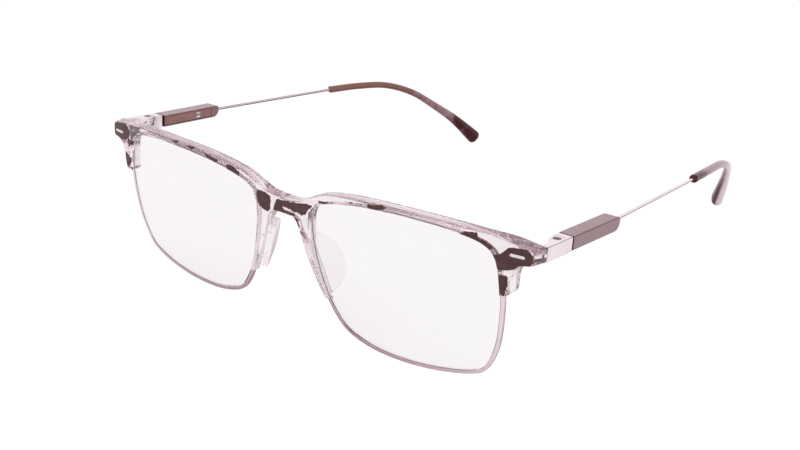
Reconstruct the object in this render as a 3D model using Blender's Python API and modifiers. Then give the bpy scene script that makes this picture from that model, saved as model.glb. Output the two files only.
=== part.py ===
"""Smart glasses: a browline front, two folding temples and an electronics module in each temple.

Standalone Blender 4.5 script. Metres, +Z up, the front looks along -Y and the temples run back
along +Y. Dimensions are written in millimetres and scaled by MM where a mesh is made.
The right-hand side is modelled; the left-hand side is its mirror image.
"""
from math import ceil, copysign, cos, pi, radians, sin, tan

import bmesh
import bpy
from mathutils import Matrix, Vector

MM = 0.001
WELD = 1e-6               # points nearer than this are one point (metres)
SIDE_VIEW = Matrix(((0, 0, 1, 0), (1, 0, 0, 0), (0, 1, 0, 0), (0, 0, 0, 1)))   # turns XY to YZ

# ---------------------------------------------------------------- driving dimensions (mm, degrees)

DATUM_Y = -71.21          # moves the model so that its bounding box is centred on the origin

# Lens plane of the right eye
LENS_X = 35.0
LENS_Y = -2.76
LENS_Z = 20.022
WRAP = radians(3.6)       # how far the temporal side of a lens sweeps back
TILT = radians(4.8)       # how far the top of a lens leans forward
LENS_RADIUS = 130.0       # base curve
LENS_THICK = 1.0

# Rim wire and the groove that holds the lens
RIM_WIDTH = 0.9
RIM_DEPTH = 1.2
LENS_GAP = 0.12
LENS_CHAMFER = 0.08
BEVEL_TIP, BEVEL_HALF = 0.26, 0.2     # reach and half width of the bevel round the lens
GROOVE_HALF = 0.34        # half width of the groove that takes the bevel
GROOVE_SPARE = 0.16       # its depth beyond the bevel

# Acetate front, seen from above at the height of the end-pieces
PLAN_Z = 36.0
FRONT_PLAN = [(0, -3.6), (12, -3.95), (24, -4.55), (36, -4.25), (48, -2.85),
              (54, -1.75), (60, -0.4), (66, 0.25), (72, 1.3)]
BACK_PLAN = [(0, 0.4), (8, -0.3), (16, -0.85), (24, -1.05), (36, -0.7), (48, 0.65),
             (56, 2.2), (61, 3.9), (65, 4.95), (72, 5.0)]
FLAT_DEPTH = 3.6          # thickness of the flat blank that is bent to the two plans
END_FLARE = 1.35          # the outer side of an end-piece runs outwards towards the back
FLARE_X, FLARE_BLEND = 64.0, 5.0
FRONT_ROUNDING = 0.35

# The nasal bars are thinner than the brow and their nose side runs outwards towards the back
BAR_TOP_Z, BAR_BLEND = 29.5, 6.0
BAR_THIN_FRONT, BAR_THIN_BACK = 0.3, 0.8
BAR_SPLAY = 1.3
BAR_LENS_X, BAR_BOW = 9.2, 0.0105
BAR_WIDTH = 3.3

# Lens opening of the front and the rim, round the lens centre (u to the temple, v up)
OPENING = [(0, 19.15), (10, 19.0), (17.5, 18.2), (22.6, 16.8), (25.4, 14.2), (26.6, 9.5),
           (27.0, 3.5), (26.4, -4.0), (25.2, -9.5), (22.6, -14.8), (19.0, -16.8), (12.0, -18.3),
           (3.0, -19.2), (-6.0, -19.1), (-12.5, -17.9), (-16.8, -15.8), (-20.2, -11.4),
           (-22.8, -5.8), (-24.6, 0.2), (-25.9, 7.2), (-25.6, 12.2), (-23.4, 14.9),
           (-18.0, 16.9), (-9.5, 18.5)]
LUG_SPAN = 5.72           # where the opening leaves the temporal lug, in spans of OPENING
BAR_SPAN = 16.30          # where it leaves the nasal bar
RIM_IN_LUG = 4.7          # the rim's ends are buried up to these spans
RIM_IN_BAR = 20.0

# The rest of the front's outline, right half, seen from the front (x, z)
BROW_TOP = [(0, 34.0), (3.2, 34.2), (6.2, 35.0), (9.0, 36.4), (11.6, 37.6), (14.5, 38.5),
            (18, 39.2), (23, 39.9), (30, 40.4), (38, 40.6), (46, 40.5), (54, 40.1),
            (61, 39.3), (66, 38.6), (68.7, 38.2)]
END_AND_LUG = [(69.2, 37.7), (69.3, 36.2), (69.2, 34.8), (68.7, 34.4), (67.6, 34.2),
               (66.2, 33.8), (65.1, 32.6), (64.5, 30.6), (64.3, 28.4), (64.1, 26.8),
               (63.6, 26.05), (62.9, 25.8), (62.2, 26.05)]
BAR_AND_BRIDGE = [(13.0, 10.4), (12.5, 10.35), (12.0, 11.0), (10.6, 13.4), (8.9, 17.0),
                  (7.4, 20.6), (6.0, 24.6), (5.2, 27.3), (4.5, 29.0), (3.3, 29.95),
                  (1.6, 30.15), (0, 30.15)]

# Rivet plaque on each end-piece
PLAQUE_X, PLAQUE_Z = 66.0, 36.3
PLAQUE_LENGTH, PLAQUE_HEIGHT = 3.6, 0.72
PLAQUE_PROUD, PLAQUE_SUNK = 0.12, 0.45
PLAQUE_STEM_RADIUS, PLAQUE_STEM_LENGTH = 0.25, 0.45
PLAQUE_TURN = radians(8)
PLAQUE_EDGE = 0.1

# Nose pad: a fin behind each nasal bar, held by two pegs
PAD_CENTRE = (9.3, 0.7, 18.3)
PAD_AXIS = (0.336, 0.075, -0.942)
PAD_SPREAD = radians(29)
PAD_OUTLINE = [(-8.5, 0), (-5.6, 3.7), (-2.5, 5.2), (0.5, 5.7), (3.5, 5.2), (6.0, 3.6), (8.0, 0)]
PAD_THICK, PAD_EDGE = 1.6, 0.6
PAD_PEG_RADIUS, PAD_PEG_LENGTH, PAD_PEG_AT = 0.4, 1.5, 3.4
PAD_PEG_INSIDE = 0.8      # the pegs run this far into the fin

# Temple: everything behind the hinge pin lies in a frame at the pin (s outwards, a back, h up)
PIVOT = (68.4, 12.0, 35.5)
TEMPLE_DROP = radians(4.7)
FIT = 0.12                # clearance between neighbouring pieces
THROUGH = 3.0             # half length of the cutters that pass right through a piece

HINGE_INNER, HINGE_OUTER = -1.95, 1.9
HINGE_HEIGHT, HINGE_EDGE = 3.5, 0.18
HINGE_FRONT = -6.65
HINGE_BACK = 3.85
NECK_BEND = [(-0.3, -3.2), (0.2, -4.4)]     # inner side of the bracket, from barrel to neck
NECK_WIDTH_AT = 0.4       # the neck's inner side where it meets the acetate
KNUCKLE_RADIUS = 1.7
KNUCKLE_GAP_FRONT = -1.9
KNUCKLE_PLAY = 0.1
LEAF_KNUCKLE_RADIUS = 1.25
LEAF_KNUCKLE_HALF = 0.55  # half height of the leaf's middle knuckle
LEAF_NECK_HALF, LEAF_NECK_BACK = 1.0, 2.3
LEAF_CORNER, LEAF_CORNER_DEPTH = 0.6, 0.35
LEAF_BELLY = 0.2          # the block reaches this much further forward in front of the pin
OUTER_WALL = 1.45         # the bracket's outer wall begins here and hides the middle knuckle
PARTING = 1.05            # the outer wall ends here, at the leaf
PARTING_GAP = 0.15
SCREW_RADIUS, SCREW_HEAD_RADIUS, SCREW_HEAD_DEPTH = 0.45, 0.9, 0.45
SCREW_HEAD_EDGE = 0.08
SCREW_SUNK, SCREW_SHORT = 0.03, 0.1         # how far its ends stay below the bracket's faces
SCREW_SLOT_WIDTH, SCREW_SLOT_DEPTH, SCREW_SLOT_TURN = 0.24, 0.25, radians(25)
PIN_PLAY = 0.08
TONGUE_HEIGHT = 0.8
TONGUE_INNER, TONGUE_FRONT = -3.8, -10.6
TONGUE_BEND, TONGUE_BACK = (0.2, 1.1), (-7.9, -7.2)
TONGUE_SHY = 0.1          # its outer side stays inside the hinge's outer side by this much
TONGUE_ROOT = 0.4         # it starts this far inside the bracket

MODULE_SIDE = -0.15       # centre line of the module, measured outwards from the pin
MODULE_WIDTH = 3.9
MODULE_HEIGHT = 3.3
MODULE_FRONT, MODULE_BACK = 4.35, 25.5
MODULE_CORNER_TOP, MODULE_CORNER_BOTTOM = 0.9, 2.1
MODULE_EDGE = 0.3
CAVITY_FRONT, CAVITY_BACK = 7.2, 21.3
CAVITY_HEIGHT, SHELL = 2.2, 0.6
COVER_FRONT, COVER_BACK, COVER_HEIGHT = 5.0, 22.6, 2.5
COVER_EDGE = 0.1
REBATE_SPARE = 0.05       # the cover's seat is this much deeper than the shell is thick
GRIP_HALF = 0.8           # the leaf's square grip in the module
GRIP_IN_LEAF = 0.4
GRIP_SHORT = 0.75         # the grip ends this far before the cavity
GRIP_HOLE_SPARE = 0.5     # its hole runs this far into the cavity
GASKET_THICK = 0.26
GASKET_SHY_HEIGHT, GASKET_SHY_WIDTH = 0.25, 0.45
CONTACT_A, CONTACT_PITCH = 17.3, 1.05
CONTACT_LENGTH, CONTACT_HEIGHT = 1.6, 0.72
CONTACT_PLAY, CONTACT_PROUD, CONTACT_EDGE = 0.07, 0.08, 0.1
CONTACT_TAIL = 0.02       # a contact runs this far behind the cover
BOARD_LENGTH, BOARD_HEIGHT, BOARD_THICK = 13.6, 1.9, 0.35
BOARD_GAP, CELL_GAP = 0.12, 0.1             # free space beside the board and the cell
CHIP_FROM, CHIP_TO, CHIP_HALF, CHIP_THICK = -4.2, -1.8, 0.7, 0.22
CELL_LENGTH, CELL_HEIGHT, CELL_THICK, CELL_EDGE = 13.0, 1.9, 1.5, 0.3
JOINED = 0.05             # joined solids run into each other by this much

WIRE_RADIUS = 0.4
WIRE_START = (-0.2, 22.2, 0.04)
WIRE_EXIT = (-0.2, 25.6, 0.04)
TIP_START = (-3.0, 74.24, 0.08)
WIRE_END = (-3.7, 86.4, 0.1)
BORE_SPARE = 0.1

# Temple tip: centre line in the temple frame, with the width and height of its section
TIP_PATH = [(-3.0, 74.24, 0.08, 2.3, 2.1), (-4.3, 87.3, -0.15, 2.2, 2.1),
            (-6.3, 99.9, -1.2, 2.2, 2.1), (-9.05, 111.4, -4.8, 2.3, 2.2),
            (-12.5, 119.8, -9.9, 2.5, 2.5), (-16.2, 127.6, -15.4, 3.1, 3.3),
            (-20.3, 135.0, -22.3, 3.6, 4.8)]
TIP_MOUTH = 0.35          # rounding of the open end
TIP_SIDES = 14
TIP_SQUARENESS = 0.8      # 1 is an ellipse, less is squarer
TIP_END_REACH = 1.9
TIP_END_RINGS = 4


# ---------------------------------------------------------------- scene helpers

def clear_scene():
    for item in list(bpy.data.objects):
        bpy.data.objects.remove(item, do_unlink=True)
    for group in list(bpy.data.collections):
        bpy.data.collections.remove(group)


def new_collection(name):
    group = bpy.data.collections.new(name)
    bpy.context.scene.collection.children.link(group)
    return group


def make_material(name, colour, roughness, metallic=0.0, transmission=0.0):
    material = bpy.data.materials.new(name)
    material.use_nodes = True
    shader = material.node_tree.nodes["Principled BSDF"]
    shader.inputs["Base Color"].default_value = (*colour, 1.0)
    shader.inputs["Roughness"].default_value = roughness
    shader.inputs["Metallic"].default_value = metallic
    shader.inputs["Transmission Weight"].default_value = transmission
    material.diffuse_color = (*colour, 1.0)
    material.roughness = roughness
    material.metallic = metallic
    return material


MATERIALS = {
    "crystal_acetate": ((0.80, 0.76, 0.78), 0.12, 0.0, 0.9),
    "lens_glass": ((0.90, 0.89, 0.91), 0.03, 0.0, 1.0),
    "rose_silver": ((0.66, 0.58, 0.60), 0.22, 1.0, 0.0),
    "clear_silicone": ((0.92, 0.92, 0.93), 0.25, 0.0, 0.9),
    "polished_steel": ((0.80, 0.76, 0.77), 0.12, 1.0, 0.0),
    "screw_steel": ((0.55, 0.52, 0.53), 0.3, 1.0, 0.0),
    "brown_plastic": ((0.27, 0.16, 0.13), 0.18, 0.0, 0.0),
    "cover_plastic": ((0.30, 0.17, 0.14), 0.25, 0.0, 0.0),
    "dark_rubber": ((0.03, 0.02, 0.02), 0.7, 0.0, 0.0),
    "cell_foil": ((0.62, 0.62, 0.64), 0.35, 0.8, 0.0),
    "board_green": ((0.03, 0.14, 0.07), 0.45, 0.0, 0.0),
    "contact_plating": ((0.75, 0.72, 0.72), 0.2, 1.0, 0.0),
    "temple_wire_steel": ((0.68, 0.61, 0.62), 0.2, 1.0, 0.0),
    "tip_acetate": ((0.18, 0.10, 0.085), 0.15, 0.0, 0.0),
}


def add_object(name, bm, group):
    """Object of a closed bmesh, with its faces turned outwards."""
    bmesh.ops.remove_doubles(bm, verts=bm.verts, dist=WELD)
    bmesh.ops.recalc_face_normals(bm, faces=bm.faces)
    mesh = bpy.data.meshes.new(name)
    bm.to_mesh(mesh)
    bm.free()
    item = bpy.data.objects.new(name, mesh)
    group.objects.link(item)
    return item


def solid_of_curve(name, curve, group, matrix=None):
    """Turn a curve into a solid object and drop the curve."""
    holder = bpy.data.objects.new(name, curve)
    group.objects.link(holder)
    bpy.context.view_layer.update()
    evaluated = holder.evaluated_get(bpy.context.evaluated_depsgraph_get())
    source = bpy.data.meshes.new_from_object(evaluated)
    bm = bmesh.new()
    bm.from_mesh(source)
    if matrix is not None:
        bm.transform(matrix)
    bpy.data.objects.remove(holder)
    bpy.data.curves.remove(curve)
    bpy.data.meshes.remove(source)
    return add_object(name, bm, group)


def bake(item):
    """Replace an object's mesh by what its modifiers make of it."""
    bpy.context.view_layer.update()
    evaluated = item.evaluated_get(bpy.context.evaluated_depsgraph_get())
    mesh = bpy.data.meshes.new_from_object(evaluated)
    old = item.data
    item.modifiers.clear()
    item.data = mesh
    if old.users == 0:
        bpy.data.batch_remove([old])
    return item


def smooth(item, angle=35):
    item.data.shade_smooth()
    item.data.set_sharp_from_angle(angle=radians(angle))


def finish(item, name, material, parent, angle=35):
    """Give a shaped object its node name, its own material, its parent and smooth shading."""
    item.name = name
    item.data.name = name
    item.data.materials.clear()
    item.data.materials.append(make_material(name + "_" + material, *MATERIALS[material]))
    item.parent = parent
    smooth(item, angle)
    return item


def bevel(item, width, segments=2, angle=40):
    modifier = item.modifiers.new("rounding", "BEVEL")
    modifier.width = width * MM
    modifier.segments = segments
    modifier.limit_method = "ANGLE"
    modifier.angle_limit = radians(angle)
    modifier.use_clamp_overlap = True
    return bake(item)


def combine(item, others, operation):
    """Cut the others from an object, or join them to it, and drop them."""
    for other in others:
        modifier = item.modifiers.new(operation.lower(), "BOOLEAN")
        modifier.operation = operation
        modifier.solver = "EXACT"
        modifier.object = other
        bake(item)
        mesh = other.data
        bpy.data.objects.remove(other)
        bpy.data.meshes.remove(mesh)
    return item


def cut(item, cutters):
    return combine(item, cutters, "DIFFERENCE")


def join(item, others):
    return combine(item, others, "UNION")


# ---------------------------------------------------------------- curves and solids

def ease(t):
    """Smooth step from 0 to 1."""
    t = min(max(t, 0.0), 1.0)
    return t * t * (3 - 2 * t)


def catmull_rom(p0, p1, p2, p3, t):
    return [0.5 * (2 * b + (c - a) * t + (2 * a - 5 * b + 4 * c - d) * t ** 2
                   + (3 * b - a - 3 * c + d) * t ** 3)
            for a, b, c, d in zip(p0, p1, p2, p3)]


def along(points, place, closed=False):
    """Point at a place counted in spans on a smooth curve through the points."""
    count = len(points)
    span = int(place // 1) if closed else min(int(place), count - 2)
    t = place - span

    def at(index):
        return points[index % count] if closed else points[max(0, min(count - 1, index))]

    return catmull_rom(at(span - 1), at(span), at(span + 1), at(span + 2), t)


def smooth_run(points, steps):
    """A smooth open run through the points, ends included."""
    total = (len(points) - 1) * steps
    return [along(points, index / steps) for index in range(total + 1)]


def plan_value(plan, x):
    """Height of a smooth plan curve at x."""
    x = abs(x)
    for span in range(len(plan) - 1):
        if x <= plan[span + 1][0] or span == len(plan) - 2:
            left, right = plan[span][0], plan[span + 1][0]
            t = min(max((x - left) / (right - left), 0.0), 1.0)
            # the plan is symmetric at x = 0, so the curve leaves the middle level
            before = plan[span - 1] if span else plan[1]
            after = plan[min(span + 2, len(plan) - 1)]
            return catmull_rom((before[1],), (plan[span][1],), (plan[span + 1][1],),
                               (after[1],), t)[0]


def prism(name, outline, thickness, group, matrix=None):
    """Solid of a flat outline, in local XY, centred on local Z."""
    curve = bpy.data.curves.new(name, "CURVE")
    curve.dimensions = "2D"
    curve.fill_mode = "BOTH"
    curve.extrude = thickness * MM / 2
    spline = curve.splines.new("POLY")
    spline.points.add(len(outline) - 1)
    for point, (x, y) in zip(spline.points, outline):
        point.co = (x * MM, y * MM, 0, 1)
    spline.use_cyclic_u = True
    return solid_of_curve(name, curve, group, matrix)


def box(name, low, high, group):
    bm = bmesh.new()
    size = [(b - a) * MM for a, b in zip(low, high)]
    middle = [(b + a) * MM / 2 for a, b in zip(low, high)]
    place = Matrix.Translation(middle) @ Matrix.Diagonal((*size, 1))
    bmesh.ops.create_cube(bm, size=1.0, matrix=place)
    return add_object(name, bm, group)


def rod(name, start, end, radius, group, sides=20):
    """Cylinder between two points."""
    start, end = Vector(start) * MM, Vector(end) * MM
    direction = end - start
    turn = direction.to_track_quat("Z", "Y").to_matrix().to_4x4()
    bm = bmesh.new()
    bmesh.ops.create_cone(
        bm, cap_ends=True, segments=sides, radius1=radius * MM, radius2=radius * MM,
        depth=direction.length, matrix=Matrix.Translation((start + end) / 2) @ turn)
    return add_object(name, bm, group)


def loft(name, rings, group, closed=False):
    """Skin between rings of equal length; an open loft gets flat ends."""
    bm = bmesh.new()
    rows = [[bm.verts.new(Vector(point) * MM) for point in ring] for ring in rings]
    count = len(rows[0])
    last = len(rows) if closed else len(rows) - 1
    for index in range(last):
        here, there = rows[index], rows[(index + 1) % len(rows)]
        for side in range(count):
            following = (side + 1) % count
            bm.faces.new((here[side], here[following], there[following], there[side]))
    if not closed:
        bm.faces.new(rows[0])
        bm.faces.new(list(reversed(rows[-1])))
    return add_object(name, bm, group)


def rounded_bar(length, height, steps=8):
    """Outline of a bar with half-round ends, centred on the origin."""
    radius = height / 2
    outline = []
    for side in (1, -1):
        for step in range(steps + 1):
            angle = side * pi / 2 - pi * step / steps
            outline.append((side * (length / 2 - radius) + radius * cos(angle), radius * sin(angle)))
    return outline


# ---------------------------------------------------------------- shapes of the lens plane

def lens_axes():
    """Origin and axes of the right lens: u to the temple, v up, n forwards."""
    u_axis = Vector((cos(WRAP), sin(WRAP), 0))
    lean = Vector((0, -sin(TILT), cos(TILT)))
    v_axis = (lean - u_axis * lean.dot(u_axis)).normalized()
    return Vector((LENS_X, LENS_Y, LENS_Z)), u_axis, v_axis, u_axis.cross(v_axis)


def lens_point(u, v, n, at=None):
    """World point of lens coordinates, with the sag of the base curve taken at (u, v) or at."""
    origin, u_axis, v_axis, n_axis = lens_axes()
    sag_u, sag_v = at if at is not None else (u, v)
    sag = (sag_u ** 2 + sag_v ** 2) / (2 * LENS_RADIUS)
    point = origin + u_axis * u + v_axis * v + n_axis * (n - sag)
    return point + Vector((0, DATUM_Y, 0))


def opening_at(place):
    """Point of the lens opening and its outward direction."""
    here = along(OPENING, place % len(OPENING), closed=True)
    ahead = along(OPENING, (place + 0.01) % len(OPENING), closed=True)
    run = Vector((ahead[0] - here[0], ahead[1] - here[1])).normalized()
    return Vector(here), Vector((-run.y, run.x))


def opening_ring(profile, start, end, steps_per_span):
    """Rings of a section (r outwards, n forwards) carried along part of the opening."""
    steps = ceil((end - start) * steps_per_span)
    rings = []
    for step in range(steps + 1):
        here, outward = opening_at(start + (end - start) * step / steps)
        ring = []
        for r, n in profile:
            place = here + outward * r
            ring.append(lens_point(place.x, place.y, n, at=here))
        rings.append(ring)
    return rings


def make_lens(group):
    """Curved lens with a bevelled edge, as rings from the middle of one face to the other."""
    half = LENS_THICK / 2
    count = len(OPENING) * 3
    edge = [opening_at(index * len(OPENING) / count) for index in range(count)]
    fractions = (0.35, 0.7)

    def scaled(fraction, n):
        return [lens_point(*((here - out * LENS_GAP) * fraction), n) for here, out in edge]

    def offset(r, n):
        return [lens_point(*(here + out * r), n) for here, out in edge]

    rings = [scaled(fraction, half) for fraction in fractions]
    rings += [offset(-LENS_GAP - LENS_CHAMFER, half), offset(-LENS_GAP, half - LENS_CHAMFER),
              offset(-LENS_GAP, BEVEL_HALF), offset(BEVEL_TIP, 0), offset(-LENS_GAP, -BEVEL_HALF),
              offset(-LENS_GAP, LENS_CHAMFER - half), offset(-LENS_GAP - LENS_CHAMFER, -half)]
    rings += [scaled(fraction, -half) for fraction in reversed(fractions)]
    return finish(loft("lens", rings, group), "lens_right", "lens_glass", None, 25)


def rim_profile(spare=0.0):
    """Section of the rim wire with its V groove; spare makes the pocket that takes it."""
    outer, half, round_off, edge = RIM_WIDTH + spare, RIM_DEPTH / 2 + spare, 0.25, 0.06
    back = [(outer, half - round_off), (outer, round_off - half), (outer - round_off, -half)]
    if spare:
        return [(outer - round_off, half)] + back + [(-1.0, -half), (-1.0, half)]
    inside = [(edge, -half), (0, edge - half), (0, -GROOVE_HALF), (BEVEL_TIP + GROOVE_SPARE, 0),
              (0, GROOVE_HALF), (0, half - edge), (edge, half)]
    return [(outer - round_off, half)] + back + inside


def make_rim(group):
    """Lower rim: from inside the temporal lug, under the lens, to the top of the nasal bar."""
    rings = opening_ring(rim_profile(), RIM_IN_LUG, RIM_IN_BAR, 4)
    return finish(loft("rim", rings, group), "rim_right", "rose_silver", None, 32)


# ---------------------------------------------------------------- acetate front

def front_outline():
    """Closed outline of the one-piece front, seen from the front."""
    steps = 2
    opening = []
    span = BAR_SPAN - len(OPENING)
    count = ceil((LUG_SPAN - span) * steps)
    for index in range(count + 1):
        here, _ = opening_at(LUG_SPAN - (LUG_SPAN - span) * index / count)
        point = lens_point(here.x, here.y, RIM_DEPTH)
        opening.append((point.x, point.z))
    outside = smooth_run(BROW_TOP, steps) + smooth_run(END_AND_LUG, 2)
    inside = smooth_run(BAR_AND_BRIDGE, steps)
    right = outside + opening + inside
    left = [(-x, z) for x, z in reversed(right[1:-1])]
    return right + left


def lean_and_bow(z):
    """How far back the front lies at height z, against its plan."""
    bow = ((z - LENS_Z) ** 2 - (PLAN_Z - LENS_Z) ** 2) / (2 * LENS_RADIUS)
    return bow - tan(TILT) * (z - PLAN_Z)


def bend_front(item):
    """Bend the flat blank, which lies in XY, to the plans of its front and back."""
    for vertex in item.data.vertices:
        x, z, depth = vertex.co / MM
        t = 0.5 - depth / FLAT_DEPTH
        front, back = plan_value(FRONT_PLAN, x), plan_value(BACK_PLAN, x)
        bar = ease((BAR_TOP_Z - z) / BAR_BLEND) if abs(x) < 2 * BAR_LENS_X else 0.0
        front += BAR_THIN_FRONT * bar
        back -= BAR_THIN_BACK * bar
        lens_side = BAR_LENS_X + BAR_BOW * (BAR_TOP_Z - z) ** 2
        nose_side = min(max((lens_side - abs(x)) / BAR_WIDTH, 0.0), 1.0)
        flare = END_FLARE * ease((abs(x) - FLARE_X) / FLARE_BLEND) + BAR_SPLAY * bar * nose_side
        y = front + (back - front) * t + lean_and_bow(z) + DATUM_Y
        vertex.co = Vector((x + copysign(flare * t, x), y, z)) * MM
    return item


def groove_cutter(group):
    """Room for the lens edge in the front, all round the opening."""
    half, shoulder = LENS_THICK / 2 + 0.16, 0.1
    profile = [(-1.5, half), (shoulder, half), (shoulder, GROOVE_HALF), (BEVEL_TIP + 0.2, 0),
               (shoulder, -GROOVE_HALF), (shoulder, -half), (-1.5, -half)]
    rings = opening_ring(profile, 0, len(OPENING), 4)[:-1]
    return loft("lens_groove", rings, group, closed=True)


def rim_pocket_cutters(group):
    """Channels for the buried ends of the rim, one in the lug and one in the nasal bar."""
    cutters = []
    for name, start, end in (("lug_channel", RIM_IN_LUG - 0.05, LUG_SPAN + 1.5),
                             ("bar_channel", BAR_SPAN - 1.5, RIM_IN_BAR + 0.05)):
        cutters.append(loft(name, opening_ring(rim_profile(FIT), start, end, 5), group))
    return cutters


def plaque_matrix(y_offset=0.0):
    y = plan_value(FRONT_PLAN, PLAQUE_X) + lean_and_bow(PLAQUE_Z) + DATUM_Y + y_offset
    place = Matrix.Translation(Vector((PLAQUE_X, y, PLAQUE_Z)) * MM)
    return place @ Matrix.Rotation(PLAQUE_TURN, 4, "Z") @ Matrix.Rotation(pi / 2, 4, "X")


def plaque_body(name, spare, group):
    """Plaque and its two stems; spare makes the pocket."""
    depth = PLAQUE_PROUD + PLAQUE_SUNK + spare
    outline = rounded_bar(PLAQUE_LENGTH + 2 * spare, PLAQUE_HEIGHT + 2 * spare)
    body = prism(name, outline, depth, group, plaque_matrix((depth - 2 * PLAQUE_PROUD) / 2))
    if not spare:
        bevel(body, PLAQUE_EDGE, 2)
    stems = []
    reach = PLAQUE_SUNK + PLAQUE_STEM_LENGTH + spare
    for side in (-1, 1):
        x = side * PLAQUE_LENGTH / 4
        stem = rod("stem", (x, 0, -PLAQUE_SUNK / 2), (x, 0, -reach), PLAQUE_STEM_RADIUS + spare, group, 12)
        stem.data.transform(plaque_matrix())
        stems.append(stem)
    return join(body, stems)


def make_plaque(group):
    """Small bright bar, set flush in the face of the end-piece."""
    return finish(plaque_body("plaque", 0.0, group), "rivet_plaque_right", "polished_steel", None)


# ---------------------------------------------------------------- nose pads

def pad_axes():
    """Axes of the fin: p down the nasal bar, q back and outwards, and the thickness."""
    p_axis = Vector(PAD_AXIS).normalized()
    q_axis = Vector((sin(PAD_SPREAD), cos(PAD_SPREAD), 0))
    q_axis = (q_axis - p_axis * q_axis.dot(p_axis)).normalized()
    return p_axis, q_axis, p_axis.cross(q_axis)


def make_nose_pad(group):
    """Clear fin with two pegs that are pressed into the nasal bar."""
    p_axis, q_axis, thickness_axis = pad_axes()
    centre = Vector(PAD_CENTRE) + Vector((0, DATUM_Y, 0))
    matrix = Matrix.Translation(centre * MM)
    matrix = matrix @ Matrix((p_axis, q_axis, thickness_axis)).transposed().to_4x4()
    pad = prism("pad", smooth_run(PAD_OUTLINE, 4), PAD_THICK, group, matrix)
    bevel(pad, PAD_EDGE, 3)
    pegs = [pad_peg(side, PAD_PEG_RADIUS, PAD_PEG_LENGTH, group) for side in (-1, 1)]
    join(pad, pegs)
    return finish(pad, "nose_pad_right", "clear_silicone", None)


def pad_peg(side, radius, length, group):
    """Peg that holds the pad, running forwards into the nasal bar."""
    p_axis, q_axis, _ = pad_axes()
    root = Vector(PAD_CENTRE) + Vector((0, DATUM_Y, 0))
    root += p_axis * PAD_PEG_AT * side + q_axis * PAD_PEG_INSIDE
    return rod("pad_peg", root, root - Vector((0, length + PAD_PEG_INSIDE, 0)), radius, group, 14)


# ---------------------------------------------------------------- temple frame pieces

def temple_matrix():
    """From the temple frame at the right-hand pin to the world."""
    place = Vector(PIVOT) + Vector((0, DATUM_Y, 0))
    return Matrix.Translation(place * MM) @ Matrix.Rotation(-TEMPLE_DROP, 4, "X")


def arc(centre, radius, start, end, steps):
    """Points of an arc, angles in degrees."""
    points = []
    for step in range(steps + 1):
        angle = radians(start + (end - start) * step / steps)
        points.append((centre[0] + radius * cos(angle), centre[1] + radius * sin(angle)))
    return points


def bracket_plan():
    """Hinge bracket seen from above: neck behind the acetate, barrel round the pin."""
    outline = [(HINGE_OUTER, HINGE_FRONT), (HINGE_OUTER, PARTING)]
    outline += arc((0, 0), KNUCKLE_RADIUS, 38, 205, 14)
    outline += NECK_BEND + [(NECK_WIDTH_AT, HINGE_FRONT)]
    return outline


def tongue_plan(spare=0.0):
    """Flat tongue that the acetate grips, seen from above; spare makes its slot."""
    outer = HINGE_OUTER - TONGUE_SHY
    bend_in, bend_out = TONGUE_BEND
    front, back = TONGUE_BACK
    if spare:
        return [(outer + 2, HINGE_FRONT + 1), (TONGUE_INNER - spare, HINGE_FRONT + 1),
                (TONGUE_INNER - spare, TONGUE_FRONT - spare), (bend_in + spare, TONGUE_FRONT - spare),
                (bend_out + spare, front - spare), (outer + 2, front - spare)]
    root = HINGE_FRONT + TONGUE_ROOT
    return [(outer, root), (0.9, root), (0.7, HINGE_FRONT - JOINED), (-0.1, back),
            (TONGUE_INNER, back), (TONGUE_INNER, TONGUE_FRONT), (bend_in, TONGUE_FRONT),
            (bend_out, front), (outer, front)]


def tongue_cutter(group):
    item = prism("tongue_slot", tongue_plan(FIT), TONGUE_HEIGHT + 2 * FIT, group)
    item.data.transform(temple_matrix())
    return item


def pin_bore(name, group):
    return rod(name, (0, 0, -THROUGH), (0, 0, THROUGH), SCREW_RADIUS + PIN_PLAY, group)


def make_hinge_bracket(group, parent):
    """Metal bracket on the front: tongue, body, outer wall and two knuckles."""
    body = prism("bracket", bracket_plan(), HINGE_HEIGHT, group)
    bevel(body, HINGE_EDGE, 2)
    join(body, [prism("tongue", tongue_plan(), TONGUE_HEIGHT, group)])
    half = LEAF_KNUCKLE_HALF + KNUCKLE_PLAY
    gap = box("knuckle_gap", (-THROUGH, KNUCKLE_GAP_FRONT, -half), (OUTER_WALL, THROUGH, half), group)
    seat = HINGE_HEIGHT / 2 - SCREW_HEAD_DEPTH - PIN_PLAY
    sink = rod("sink", (0, 0, seat), (0, 0, THROUGH), SCREW_HEAD_RADIUS + PIN_PLAY, group, 24)
    cut(body, [gap, pin_bore("bore", group), sink])
    return finish(body, "hinge_bracket_right", "polished_steel", parent)


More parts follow.
